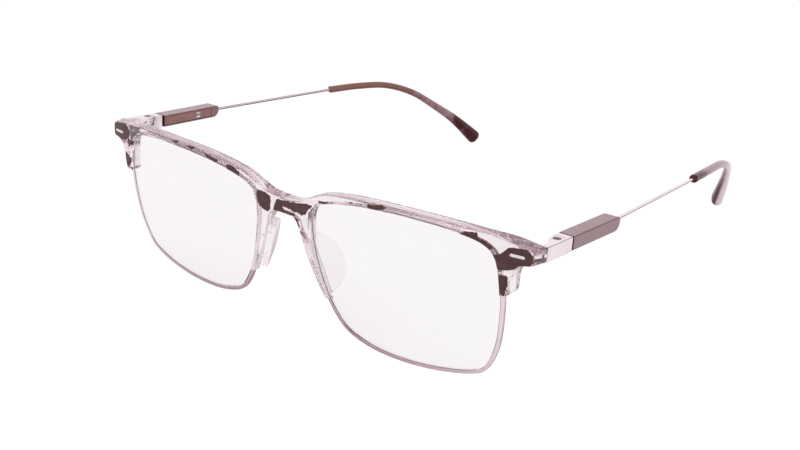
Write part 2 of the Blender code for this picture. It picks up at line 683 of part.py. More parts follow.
def make_hinge_leaf(group, parent):
    """Metal leaf on the temple: middle knuckle, block and a tongue into the module."""
    front = PARTING + PARTING_GAP
    plan = [(HINGE_OUTER, front), (HINGE_OUTER, HINGE_BACK), (HINGE_INNER, HINGE_BACK),
            (HINGE_INNER, front + LEAF_CORNER_DEPTH), (HINGE_INNER + LEAF_CORNER, front),
            (0, front - LEAF_BELLY)]
    block = prism("leaf", plan, HINGE_HEIGHT, group)
    bevel(block, HINGE_EDGE, 2)
    sweep = KNUCKLE_RADIUS + PARTING_GAP
    cut(block, [rod("sweep", (0, 0, -THROUGH), (0, 0, THROUGH), sweep, group, 40)])
    half = LEAF_KNUCKLE_HALF
    knuckle = rod("knuckle", (0, 0, -half), (0, 0, half), LEAF_KNUCKLE_RADIUS, group, 24)
    neck = box("neck", (-LEAF_NECK_HALF, 0, -half), (LEAF_NECK_HALF, LEAF_NECK_BACK, half), group)
    grip = box("grip", (MODULE_SIDE - GRIP_HALF, HINGE_BACK - GRIP_IN_LEAF, -GRIP_HALF),
               (MODULE_SIDE + GRIP_HALF, CAVITY_FRONT - GRIP_SHORT, GRIP_HALF), group)
    join(block, [knuckle, neck, grip])
    cut(block, [pin_bore("bore", group)])
    return finish(block, "hinge_leaf_right", "polished_steel", parent)


def make_hinge_screw(group, parent):
    """Slotted screw that is the hinge pin."""
    top, bottom = HINGE_HEIGHT / 2 - SCREW_SUNK, SCREW_SHORT - HINGE_HEIGHT / 2
    shank_top = top - SCREW_HEAD_DEPTH / 2
    screw = rod("screw", (0, 0, bottom), (0, 0, shank_top), SCREW_RADIUS, group)
    head = rod("head", (0, 0, top - SCREW_HEAD_DEPTH), (0, 0, top), SCREW_HEAD_RADIUS, group, 28)
    bevel(head, SCREW_HEAD_EDGE, 2)
    join(head, [screw])
    half = SCREW_SLOT_WIDTH / 2
    slot = box("slot", (-THROUGH, -half, top - SCREW_SLOT_DEPTH), (THROUGH, half, THROUGH), group)
    slot.data.transform(Matrix.Rotation(SCREW_SLOT_TURN, 4, "Z"))
    cut(head, [slot])
    return finish(head, "hinge_screw_right", "screw_steel", parent)


def module_outline(inset=0.0):
    """Module seen from the side (a, h): square front, rounded back corners."""
    half = MODULE_HEIGHT / 2 - inset
    front, back = MODULE_FRONT + inset, MODULE_BACK - inset
    top, bottom = MODULE_CORNER_TOP, MODULE_CORNER_BOTTOM
    outline = [(front, half), (front, -half)]
    outline += arc((back - bottom, bottom - half), bottom, -90, 0, 8)
    outline += arc((back - top, half - top), top, 0, 90, 4)
    return outline


def make_module_housing(group, parent):
    """Brown shell of the module, open on the wearer's side for its cover."""
    inner, outer = MODULE_SIDE - MODULE_WIDTH / 2, MODULE_SIDE + MODULE_WIDTH / 2
    place = Matrix.Translation((MODULE_SIDE * MM, 0, 0)) @ SIDE_VIEW
    shell = prism("shell", module_outline(), MODULE_WIDTH, group, place)
    bevel(shell, MODULE_EDGE, 3)
    half = CAVITY_HEIGHT / 2
    cavity = box("cavity", (inner - THROUGH, CAVITY_FRONT, -half), (outer - SHELL, CAVITY_BACK, half), group)
    half = COVER_HEIGHT / 2 + FIT
    rebate = box("rebate", (inner - THROUGH, COVER_FRONT - FIT, -half),
                 (inner + SHELL + REBATE_SPARE, COVER_BACK + FIT, half), group)
    half = GRIP_HALF + FIT
    grip = box("grip_hole", (MODULE_SIDE - half, MODULE_FRONT - 1, -half),
               (MODULE_SIDE + half, CAVITY_FRONT + GRIP_HOLE_SPARE, half), group)
    bore = rod("wire_bore", (WIRE_START[0], CAVITY_BACK - 0.5, WIRE_START[2]),
               (WIRE_EXIT[0], MODULE_BACK + 1, WIRE_EXIT[2]), WIRE_RADIUS + BORE_SPARE, group)
    cut(shell, [cavity, rebate, grip, bore])
    return finish(shell, "module_housing_right", "brown_plastic", parent)


def contact_bar(name, side, spare, near, far, group):
    """Upright bar of a contact's outline across the cover, between two distances outwards."""
    outline = rounded_bar(CONTACT_LENGTH + 2 * spare, CONTACT_HEIGHT + 2 * spare, 6)
    middle = Vector(((near + far) / 2, CONTACT_A, side * CONTACT_PITCH / 2))
    return prism(name, outline, far - near, group, Matrix.Translation(middle * MM) @ SIDE_VIEW)


def make_module_cover(group, parent):
    """Flush cover on the wearer's side, with two openings for the charging contacts."""
    inner = MODULE_SIDE - MODULE_WIDTH / 2
    half = COVER_HEIGHT / 2
    back = inner + SHELL - REBATE_SPARE
    cover = box("cover", (inner, COVER_FRONT, -half), (back, COVER_BACK, half), group)
    bevel(cover, COVER_EDGE, 1)
    cut(cover, [contact_bar("hole", side, CONTACT_PLAY, inner - 1, inner + 2, group)
                for side in (-1, 1)])
    return finish(cover, "module_cover_right", "cover_plastic", parent)


def make_module_gasket(group, parent):
    """Dark seal between the hinge leaf and the module."""
    middle = (HINGE_BACK + MODULE_FRONT) / 2
    half_height, half_width = HINGE_HEIGHT / 2 - GASKET_SHY_HEIGHT, MODULE_WIDTH / 2 - GASKET_SHY_WIDTH
    low = (MODULE_SIDE - half_width, middle - GASKET_THICK / 2, -half_height)
    high = (MODULE_SIDE + half_width, middle + GASKET_THICK / 2, half_height)
    gasket = box("gasket", low, high, group)
    half = GRIP_HALF + FIT
    hole = box("gasket_hole", (MODULE_SIDE - half, middle - 1, -half),
               (MODULE_SIDE + half, middle + 1, half), group)
    cut(gasket, [hole])
    return finish(gasket, "module_gasket_right", "dark_rubber", parent)


def make_circuit_board(group, parent):
    """Circuit board behind the cover, with its radio chip."""
    inner = MODULE_SIDE - MODULE_WIDTH / 2 + SHELL + BOARD_GAP
    middle = (CAVITY_FRONT + CAVITY_BACK) / 2
    face = inner + BOARD_THICK
    half = BOARD_HEIGHT / 2
    board = box("board", (inner, middle - BOARD_LENGTH / 2, -half),
                (face, middle + BOARD_LENGTH / 2, half), group)
    chip = box("chip", (face - JOINED, middle + CHIP_FROM, -CHIP_HALF),
               (face + CHIP_THICK, middle + CHIP_TO, CHIP_HALF), group)
    join(board, [chip])
    return finish(board, "circuit_board_right", "board_green", parent)


def make_battery(group, parent):
    """Pouch cell that fills the rest of the cavity."""
    outer = MODULE_SIDE + MODULE_WIDTH / 2 - SHELL - CELL_GAP
    middle = (CAVITY_FRONT + CAVITY_BACK) / 2
    half = CELL_HEIGHT / 2
    cell = box("cell", (outer - CELL_THICK, middle - CELL_LENGTH / 2, -half),
               (outer, middle + CELL_LENGTH / 2, half), group)
    bevel(cell, CELL_EDGE, 2)
    return finish(cell, "battery_right", "cell_foil", parent)


def make_charging_contact(label, side, group, parent):
    """One rounded bar of a contact that stands a little proud of the cover."""
    inner = MODULE_SIDE - MODULE_WIDTH / 2
    pin = contact_bar("contact", side, 0.0, inner - CONTACT_PROUD, inner + SHELL + CONTACT_TAIL, group)
    bevel(pin, CONTACT_EDGE, 2)
    return finish(pin, f"charging_contact_{label}_right", "contact_plating", parent)


def make_upper_contact(group, parent):
    return make_charging_contact("upper", 1, group, parent)


def make_lower_contact(group, parent):
    return make_charging_contact("lower", -1, group, parent)


def make_temple_wire(group, parent):
    """Straight wire from the module into the tip, bent once where it leaves the module."""
    points = [WIRE_START, WIRE_EXIT, TIP_START, WIRE_END]
    curve = bpy.data.curves.new("temple_wire", "CURVE")
    curve.dimensions = "3D"
    curve.bevel_depth = WIRE_RADIUS * MM
    curve.bevel_resolution = 3
    curve.use_fill_caps = True
    spline = curve.splines.new("POLY")
    spline.points.add(len(points) - 1)
    for point, place in zip(spline.points, points):
        point.co = (*[value * MM for value in place], 1)
    wire = solid_of_curve("wire", curve, group)
    return finish(wire, "temple_wire_right", "temple_wire_steel", parent, 60)


def tip_ring(centre, direction, width, height):
    """Rounded section of the tip across its path."""
    up = Vector((0, 0, 1))
    side = direction.cross(up).normalized()
    top = side.cross(direction).normalized()
    ring = []
    for step in range(TIP_SIDES):
        angle = 2 * pi * step / TIP_SIDES
        # a squarer round than an ellipse
        across = copysign(abs(cos(angle)) ** TIP_SQUARENESS, cos(angle)) * width / 2
        upwards = copysign(abs(sin(angle)) ** TIP_SQUARENESS, sin(angle)) * height / 2
        ring.append(centre + side * across + top * upwards)
    return ring


def make_temple_tip(group, parent):
    """Acetate tip: straight, then bent down and inwards, and wider to its round end."""
    steps = 4
    stations = smooth_run(TIP_PATH, steps)
    rings = []
    for index, station in enumerate(stations):
        centre = Vector(station[:3])
        near = Vector(stations[max(index - 1, 0)][:3])
        far = Vector(stations[min(index + 1, len(stations) - 1)][:3])
        direction = (far - near).normalized()
        width, height = station[3:]
        if index == 0:
            rings.append(tip_ring(centre, direction, width - 2 * TIP_MOUTH, height - 2 * TIP_MOUTH))
            centre = centre + direction * TIP_MOUTH
        rings.append(tip_ring(centre, direction, width, height))
    # the round end: sections that shrink along a quarter ellipse
    end, last = Vector(stations[-1][:3]), len(stations) - 1
    direction = (end - Vector(stations[last - 1][:3])).normalized()
    width, height = stations[-1][3:]
    for step in range(1, TIP_END_RINGS + 1):
        angle = pi / 2 * step / (TIP_END_RINGS + 0.4)
        rings.append(tip_ring(end + direction * TIP_END_REACH * sin(angle), direction,
                              width * cos(angle), height * cos(angle)))
    tip = loft("tip", rings, group)
    run = (Vector(WIRE_END) - Vector(TIP_START)).normalized()
    cut(tip, [rod("tip_bore", Vector(TIP_START) - run, Vector(WIRE_END) + run * 0.3,
                  WIRE_RADIUS + BORE_SPARE, group)])
    return finish(tip, "temple_tip_right", "tip_acetate", parent, 50)


# ---------------------------------------------------------------- mirror and assembly

def mirror_copy(item, name, group):
    mesh = item.data.copy()
    mesh.name = name
    mesh.transform(Matrix.Diagonal((-1, 1, 1, 1)))
    mesh.flip_normals()
    copy = bpy.data.objects.new(name, mesh)
    group.objects.link(copy)
    return copy


def mirrored(item, group, parent):
    """Left-hand copy of a right-hand piece, with its own material."""
    copy = mirror_copy(item, item.name.replace("right", "left"), group)
    copy.parent = parent
    material = item.data.materials[0].copy()
    material.name = item.data.materials[0].name.replace("right", "left")
    copy.data.materials.clear()
    copy.data.materials.append(material)
    return copy


def mirrored_cutters(cutters, group):
    return [mirror_copy(cutter, cutter.name + "_left", group) for cutter in cutters]


def make_front_frame(group, cutter_group):
    """One-piece acetate front with the pockets of everything that is set into it."""
    front = prism("front", front_outline(), FLAT_DEPTH, group)
    bevel(front, FRONT_ROUNDING, 2, 50)
    bm = bmesh.new()
    bm.from_mesh(front.data)
    bmesh.ops.triangulate(bm, faces=bm.faces)
    bm.to_mesh(front.data)
    bm.free()
    bend_front(front)
    # the bend swaps two axes, which turns the faces inwards
    front.data.flip_normals()
    cutters = [groove_cutter(cutter_group)] + rim_pocket_cutters(cutter_group)
    cutters += [tongue_cutter(cutter_group), plaque_body("plaque_pocket", 0.08, cutter_group)]
    cutters += [pad_peg(side, PAD_PEG_RADIUS + FIT, PAD_PEG_LENGTH + FIT, cutter_group)
                for side in (-1, 1)]
    cut(front, cutters + mirrored_cutters(cutters, cutter_group))
    return finish(front, "front_frame", "crystal_acetate", None, 30)


def hinge_empty(name, side, group):
    """Empty on the hinge pin that carries the temple frame of its side."""
    empty = bpy.data.objects.new(name, None)
    matrix = temple_matrix()
    empty.location = matrix.translation
    empty.location.x *= side
    empty.rotation_euler = matrix.to_euler()
    empty.empty_display_size = 5 * MM
    group.objects.link(empty)
    return empty


def build():
    clear_scene()
    parts = new_collection("smart_glasses")
    cutters = new_collection("cutters")
    right = hinge_empty("hinge_axis_right", 1, parts)
    left = hinge_empty("hinge_axis_left", -1, parts)
    make_front_frame(parts, cutters)
    for piece in (make_lens(parts), make_rim(parts), make_plaque(parts), make_nose_pad(parts)):
        mirrored(piece, parts, None)
    makers = (make_hinge_bracket, make_hinge_screw, make_hinge_leaf, make_module_gasket,
              make_module_housing, make_module_cover, make_circuit_board, make_battery,
              make_upper_contact, make_lower_contact, make_temple_wire, make_temple_tip)
    for maker in makers:
        mirrored(maker(parts, right), parts, left)
    bpy.context.view_layer.update()


build()
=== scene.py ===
"""Looks of the smart glasses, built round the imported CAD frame.

Metres, +Z up, the front looks along -Y. Shapes are written in millimetres and scaled by MM.
Shapes of the right-hand side are mirrored for the left-hand side.
"""

from math import ceil, copysign, cos, pi, radians, sin, tan

import bmesh
import bpy
import numpy as np
from mathutils import Matrix, Vector


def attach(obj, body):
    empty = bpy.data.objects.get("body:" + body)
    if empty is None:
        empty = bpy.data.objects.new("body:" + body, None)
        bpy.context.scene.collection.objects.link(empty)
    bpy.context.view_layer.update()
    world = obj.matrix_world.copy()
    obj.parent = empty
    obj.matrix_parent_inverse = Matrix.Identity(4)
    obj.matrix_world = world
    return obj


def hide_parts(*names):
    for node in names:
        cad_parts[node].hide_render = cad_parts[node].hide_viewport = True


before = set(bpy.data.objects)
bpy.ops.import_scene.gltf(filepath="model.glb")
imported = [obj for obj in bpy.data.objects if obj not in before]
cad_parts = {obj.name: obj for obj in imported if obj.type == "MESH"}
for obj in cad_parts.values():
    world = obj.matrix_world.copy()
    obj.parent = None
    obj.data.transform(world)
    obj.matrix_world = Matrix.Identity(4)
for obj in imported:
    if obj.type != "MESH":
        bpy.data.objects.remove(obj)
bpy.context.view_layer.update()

MM = 0.001
WELD = 1e-6
SIDES = (("right", 1), ("left", -1))

# ---------------------------------------------------------------- dimensions of the CAD (mm, degrees)

DATUM_Y = -71.21

LENS_CENTRE = (35.0, -2.76, 20.022)
WRAP, TILT = radians(3.6), radians(4.8)
LENS_RADIUS = 130.0
LENS_THICK = 1.0
LENS_GAP = 0.12
LENS_CHAMFER = 0.08
BEVEL_TIP, BEVEL_HALF = 0.26, 0.2
GROOVE_HALF = 0.34
GROOVE_SHOULDER, GROOVE_REACH = 0.1, 1.5        # its flat edge outwards, its cutter inwards
FACE_PLAY, TIP_PLAY, RIM_TIP_PLAY = 0.16, 0.2, 0.16     # room at the lens faces and at its bevel

RIM_WIDTH, RIM_DEPTH = 0.9, 1.2
RIM_ROUNDING, RIM_EDGE = 0.25, 0.06

# Plans and outlines run smoothly through their points
PLAN_Z = 36.0
FRONT_PLAN = [(0, -3.6), (12, -3.95), (24, -4.55), (36, -4.25), (48, -2.85),
              (54, -1.75), (60, -0.4), (66, 0.25), (72, 1.3)]
BACK_PLAN = [(0, 0.4), (8, -0.3), (16, -0.85), (24, -1.05), (36, -0.7), (48, 0.65),
             (56, 2.2), (61, 3.9), (65, 4.95), (72, 5.0)]
FLAT_DEPTH = 3.6
END_FLARE, FLARE_X, FLARE_BLEND = 1.35, 64.0, 5.0
BAR_TOP_Z, BAR_BLEND = 29.5, 6.0
BAR_THIN_FRONT, BAR_THIN_BACK, BAR_SPLAY = 0.3, 0.8, 1.3
BAR_LENS_X, BAR_BOW, BAR_WIDTH = 9.2, 0.0105, 3.3

OPENING = [(0, 19.15), (10, 19.0), (17.5, 18.2), (22.6, 16.8), (25.4, 14.2), (26.6, 9.5),
           (27.0, 3.5), (26.4, -4.0), (25.2, -9.5), (22.6, -14.8), (19.0, -16.8), (12.0, -18.3),
           (3.0, -19.2), (-6.0, -19.1), (-12.5, -17.9), (-16.8, -15.8), (-20.2, -11.4),
           (-22.8, -5.8), (-24.6, 0.2), (-25.9, 7.2), (-25.6, 12.2), (-23.4, 14.9),
           (-18.0, 16.9), (-9.5, 18.5)]
# Places on the opening, counted in spans
LUG_SPAN, BAR_SPAN = 5.72, 16.30
RIM_IN_LUG, RIM_IN_BAR = 4.7, 20.0
BROW_TOP = [(0, 34.0), (3.2, 34.2), (6.2, 35.0), (9.0, 36.4), (11.6, 37.6), (14.5, 38.5),
            (18, 39.2), (23, 39.9), (30, 40.4), (38, 40.6), (46, 40.5), (54, 40.1),
            (61, 39.3), (66, 38.6), (68.7, 38.2)]
END_AND_LUG = [(69.2, 37.7), (69.3, 36.2), (69.2, 34.8), (68.7, 34.4), (67.6, 34.2),
               (66.2, 33.8), (65.1, 32.6), (64.5, 30.6), (64.3, 28.4), (64.1, 26.8),
               (63.6, 26.05), (62.9, 25.8), (62.2, 26.05)]
BAR_AND_BRIDGE = [(13.0, 10.4), (12.5, 10.35), (12.0, 11.0), (10.6, 13.4), (8.9, 17.0),
                  (7.4, 20.6), (6.0, 24.6), (5.2, 27.3), (4.5, 29.0), (3.3, 29.95),
                  (1.6, 30.15), (0, 30.15)]

PAD_CENTRE = (9.3, 0.7, 18.3)
PAD_AXIS = (0.336, 0.075, -0.942)
PAD_SPREAD = radians(29)
PAD_OUTLINE = [(-8.5, 0), (-5.6, 3.7), (-2.5, 5.2), (0.5, 5.7), (3.5, 5.2), (6.0, 3.6), (8.0, 0)]
PAD_THICK, PAD_EDGE = 1.6, 0.5
PAD_PEG_RADIUS, PAD_PEG_LENGTH, PAD_PEG_AT, PAD_PEG_INSIDE = 0.4, 1.5, 3.4, 0.8

PIVOT = (68.4, 12.0, 35.5)
TEMPLE_DROP = radians(4.7)
WIRE_RADIUS = 0.4
WIRE_START, WIRE_EXIT = (-0.2, 22.2, 0.04), (-0.2, 25.6, 0.04)
WIRE_COLLAR, WIRE_COLLAR_LENGTH = 0.8, 1.6     # the wire swells to this radius at the module
WIRE_COLLAR_FALL = 1.5    # power of the swelling's hollow curve
TIP_START, WIRE_END = (-3.0, 74.24, 0.08), (-3.7, 86.4, 0.1)
# Stations of the tip: x, y, z, width and height
TIP_PATH = [(-3.0, 74.24, 0.08, 2.3, 2.1), (-4.3, 87.3, -0.15, 2.2, 2.1),
            (-6.3, 99.9, -1.2, 2.2, 2.1), (-9.05, 111.4, -4.8, 2.3, 2.2),
            (-12.5, 119.8, -9.9, 2.5, 2.5), (-16.2, 127.6, -15.4, 3.1, 3.3),
            (-20.3, 135.0, -22.3, 3.6, 4.8)]
TIP_MOUTH = 0.35
TIP_SQUARENESS = 0.8
TIP_END_REACH = 1.9

# ---------------------------------------------------------------- fineness of the visual meshes

OUTLINE_STEPS, PAD_STEPS, BLOTCH_STEPS = 12, 10, 4      # points for each span of an outline
REMESH_VOXEL = 0.16       # mm
EDGE_ROUNDING_STEPS = 10
FRONT_ROUNDING = 0.45     # mm
PRESSES = 6               # times that the skin of the front is pressed onto its outline
RING_STEPS = 9            # rings for each span of the lens opening
LENS_RINGS = (0.02, 0.2, 0.4, 0.6, 0.8, 0.92)   # shares of the way from the middle to the edge
RIM_CORNER_STEPS, PAD_EDGE_STEPS = 4, 5
ROUND_SIDES = 32          # of rods, wires and tips
COLLAR_SHARES = (0.35, 0.7, 1.0)
TIP_STEPS = 8
MOUTH_ANGLES = (0, 30, 60)
TIP_END_RINGS, TIP_END_OPEN = 8, 0.3    # the last ring stays open by a share of a ring
LENS_CREASE, RIM_CREASE, FRONT_CREASE, PAD_CREASE, ROUND_CREASE = 25, 32, 35, 40, 50    # degrees
BEVEL_CREASE = 40         # degrees
LOOK_AHEAD = 0.01         # share of a span


# ---------------------------------------------------------------- curves and solids

def ease(t):
    """Smooth step from 0 to 1, of a number or an array."""
    t = np.clip(t, 0.0, 1.0)
    return t * t * (3 - 2 * t)


def catmull_rom(p0, p1, p2, p3, t):
    return [0.5 * (2 * b + (c - a) * t + (2 * a - 5 * b + 4 * c - d) * t ** 2
                   + (3 * b - a - 3 * c + d) * t ** 3)
            for a, b, c, d in zip(p0, p1, p2, p3)]


def along(points, place, closed=False):
    """Point at a place counted in spans on a smooth curve through the points."""
    count = len(points)
    span = int(place // 1) if closed else min(int(place), count - 2)
    t = place - span

    def at(index):
        return points[index % count] if closed else points[max(0, min(count - 1, index))]

    return catmull_rom(at(span - 1), at(span), at(span + 1), at(span + 2), t)


def smooth_run(points, steps):
    """A smooth open run through the points, ends included."""
    total = (len(points) - 1) * steps
    return [along(points, index / steps) for index in range(total + 1)]


def plan_heights(plan, x):
    """Heights of a smooth plan curve, level at its middle, at an array of x."""
    ends = [(-plan[1][0], plan[1][1])] + plan
    samples = [point for point in smooth_run(ends, OUTLINE_STEPS) if point[0] >= 0]
    return np.interp(np.abs(x), [p[0] for p in samples], [p[1] for p in samples])


def object_of(name, bm):
    """Object of a bmesh with its faces turned outwards."""
    bmesh.ops.remove_doubles(bm, verts=bm.verts, dist=WELD)
    bmesh.ops.recalc_face_normals(bm, faces=bm.faces)
    mesh = bpy.data.meshes.new(name)
    bm.to_mesh(mesh)
    bm.free()
    item = bpy.data.objects.new(name, mesh)
    bpy.context.scene.collection.objects.link(item)
    return item


def made_mesh(item):
    """Mesh that comes of an object's curve or modifiers."""
    bpy.context.view_layer.update()
    evaluated = item.evaluated_get(bpy.context.evaluated_depsgraph_get())
    return bpy.data.meshes.new_from_object(evaluated)


def bake(item):
    """Replace an object's mesh by what its modifiers make of it."""
    mesh = made_mesh(item)
    item.modifiers.clear()
    item.data = mesh
    return item


def solid_of_curve(name, curve, matrix=None):
    """Turn a curve into a solid object and drop the curve."""
    holder = bpy.data.objects.new(name, curve)
    bpy.context.scene.collection.objects.link(holder)
    bm = bmesh.new()
    bm.from_mesh(made_mesh(holder))
    if matrix is not None:
        bm.transform(matrix)
    bpy.data.objects.remove(holder)
    return object_of(name, bm)


def prism(name, outline, thickness, matrix=None):
    """Solid of a flat outline, in local XY, centred on local Z."""
    curve = bpy.data.curves.new(name, "CURVE")
    curve.dimensions = "2D"
    curve.fill_mode = "BOTH"
    curve.extrude = thickness * MM / 2
    spline = curve.splines.new("POLY")
    spline.points.add(len(outline) - 1)
    for point, (x, y) in zip(spline.points, outline):
        point.co = (x * MM, y * MM, 0, 1)
    spline.use_cyclic_u = True
    return solid_of_curve(name, curve, matrix)


def loft(name, rings, closed=False):
    """Skin between rings of equal length; an open loft gets flat ends."""
    bm = bmesh.new()
    rows = [[bm.verts.new(Vector(point) * MM) for point in ring] for ring in rings]
    count = len(rows[0])
    last = len(rows) if closed else len(rows) - 1
    for index in range(last):
        here, there = rows[index], rows[(index + 1) % len(rows)]
        for side in range(count):
            following = (side + 1) % count
            bm.faces.new((here[side], here[following], there[following], there[side]))
    if not closed:
        bm.faces.new(rows[0])
        bm.faces.new(list(reversed(rows[-1])))
    return object_of(name, bm)


def rod(name, start, end, radius):
    start, end = Vector(start) * MM, Vector(end) * MM
    direction = end - start
    turn = direction.to_track_quat("Z", "Y").to_matrix().to_4x4()
    bm = bmesh.new()
    bmesh.ops.create_cone(
        bm, cap_ends=True, segments=ROUND_SIDES, radius1=radius * MM, radius2=radius * MM,
        depth=direction.length, matrix=Matrix.Translation((start + end) / 2) @ turn)
    return object_of(name, bm)


def combine(item, others, operation):
    """Cut the others from an object, or join them to it, and drop them."""
    for other in others:
        modifier = item.modifiers.new(operation.lower(), "BOOLEAN")
        modifier.operation = operation
        modifier.solver = "EXACT"
        modifier.object = other
        bake(item)
        bpy.data.objects.remove(other)
    return item


def bevel(item, width, segments):
    modifier = item.modifiers.new("rounding", "BEVEL")
    modifier.width = width * MM
    modifier.segments = segments
    modifier.limit_method = "ANGLE"
    modifier.angle_limit = radians(BEVEL_CREASE)
    return bake(item)


def smooth(item, angle):
    item.data.shade_smooth()
    item.data.set_sharp_from_angle(angle=radians(angle))
    return item


def arc(centre, radius, start, end, steps):
    """Points of an arc, angles in degrees."""
    points = []
    for step in range(steps + 1):
        angle = radians(start + (end - start) * step / steps)
        points.append((centre[0] + radius * cos(angle), centre[1] + radius * sin(angle)))
    return points


def mirror(item, name):
    mesh = item.data.copy()
    mesh.transform(Matrix.Diagonal((-1, 1, 1, 1)))
    mesh.flip_normals()
    copy = bpy.data.objects.new(name, mesh)
    bpy.context.scene.collection.objects.link(copy)
    return copy


# ---------------------------------------------------------------- shapes of the lens plane

def lens_point(u, v, n, at=None):
    """World point of lens coordinates, with the sag of the base curve taken at (u, v) or at."""
    u_axis = Vector((cos(WRAP), sin(WRAP), 0))
    lean = Vector((0, -sin(TILT), cos(TILT)))
    v_axis = (lean - u_axis * lean.dot(u_axis)).normalized()
    n_axis = u_axis.cross(v_axis)
    sag_u, sag_v = at if at is not None else (u, v)
    sag = (sag_u ** 2 + sag_v ** 2) / (2 * LENS_RADIUS)
    point = Vector(LENS_CENTRE) + u_axis * u + v_axis * v + n_axis * (n - sag)
    return point + Vector((0, DATUM_Y, 0))


def opening_at(place):
    """Point of the lens opening and its outward direction."""
    here = along(OPENING, place % len(OPENING), closed=True)
    ahead = along(OPENING, (place + LOOK_AHEAD) % len(OPENING), closed=True)
    run = Vector((ahead[0] - here[0], ahead[1] - here[1])).normalized()
    return Vector(here), Vector((-run.y, run.x))


def opening_ring(profile, start, end):
    """Rings of a section (r outwards, n forwards) carried along part of the opening."""
    steps = ceil((end - start) * RING_STEPS)
    rings = []
    for step in range(steps + 1):
        here, outward = opening_at(start + (end - start) * step / steps)
        places = [(here + outward * r, n) for r, n in profile]
        rings.append([lens_point(place.x, place.y, n, at=here) for place, n in places])
    return rings


def make_lens():
    """Curved lens with a bevelled edge, as rings from the middle of one face to the other."""
    half = LENS_THICK / 2
    count = len(OPENING) * RING_STEPS
    edge = [opening_at(index * len(OPENING) / count) for index in range(count)]

    def shrunk(share, n):
        return [lens_point(*((here - out * LENS_GAP) * share), n) for here, out in edge]

    def offset(r, n):
        return [lens_point(*(here + out * r), n) for here, out in edge]

    rings = [shrunk(share, half) for share in LENS_RINGS]
    rings += [offset(-LENS_GAP - LENS_CHAMFER, half), offset(-LENS_GAP, half - LENS_CHAMFER),
              offset(-LENS_GAP, BEVEL_HALF), offset(BEVEL_TIP, 0), offset(-LENS_GAP, -BEVEL_HALF),
              offset(-LENS_GAP, LENS_CHAMFER - half), offset(-LENS_GAP - LENS_CHAMFER, -half)]
    rings += [shrunk(share, -half) for share in reversed(LENS_RINGS)]
    return smooth(loft("lens", rings), LENS_CREASE)


def make_rim():
    """Half rim with rounded outer edges and the groove that holds the lens."""
    half, edge = RIM_DEPTH / 2, RIM_EDGE
    outer, corner = RIM_WIDTH - RIM_ROUNDING, half - RIM_ROUNDING
    profile = arc((outer, corner), RIM_ROUNDING, 90, 0, RIM_CORNER_STEPS)
    profile += arc((outer, -corner), RIM_ROUNDING, 0, -90, RIM_CORNER_STEPS)
    profile += [(edge, -half), (0, edge - half), (0, -GROOVE_HALF), (BEVEL_TIP + RIM_TIP_PLAY, 0),
                (0, GROOVE_HALF), (0, half - edge), (edge, half)]
    return smooth(loft("rim", opening_ring(profile, RIM_IN_LUG, RIM_IN_BAR)), RIM_CREASE)


# ---------------------------------------------------------------- acetate front

def points_of(mesh):
    """Coordinates of a mesh's points, in millimetres."""
    flat = np.empty(len(mesh.vertices) * 3)
    mesh.vertices.foreach_get("co", flat)
    return flat.reshape(-1, 3).T / MM


def put_points(mesh, x, y, z):
    """Move a mesh's points to coordinates in millimetres."""
    mesh.vertices.foreach_set("co", (np.stack((x, y, z), axis=1) * MM).ravel())


def front_outline():
    """Closed outline of the one-piece front, seen from the front."""
    steps = OUTLINE_STEPS
    opening = []
    span = BAR_SPAN - len(OPENING)
    count = ceil((LUG_SPAN - span) * steps)
    for index in range(count + 1):
        here, _ = opening_at(LUG_SPAN - (LUG_SPAN - span) * index / count)
        point = lens_point(here.x, here.y, RIM_DEPTH)
        opening.append((point.x, point.z))
    right = smooth_run(BROW_TOP, steps) + smooth_run(END_AND_LUG, steps) + opening
    right += smooth_run(BAR_AND_BRIDGE, steps)
    left = [(-x, z) for x, z in reversed(right[1:-1])]
    return right + left


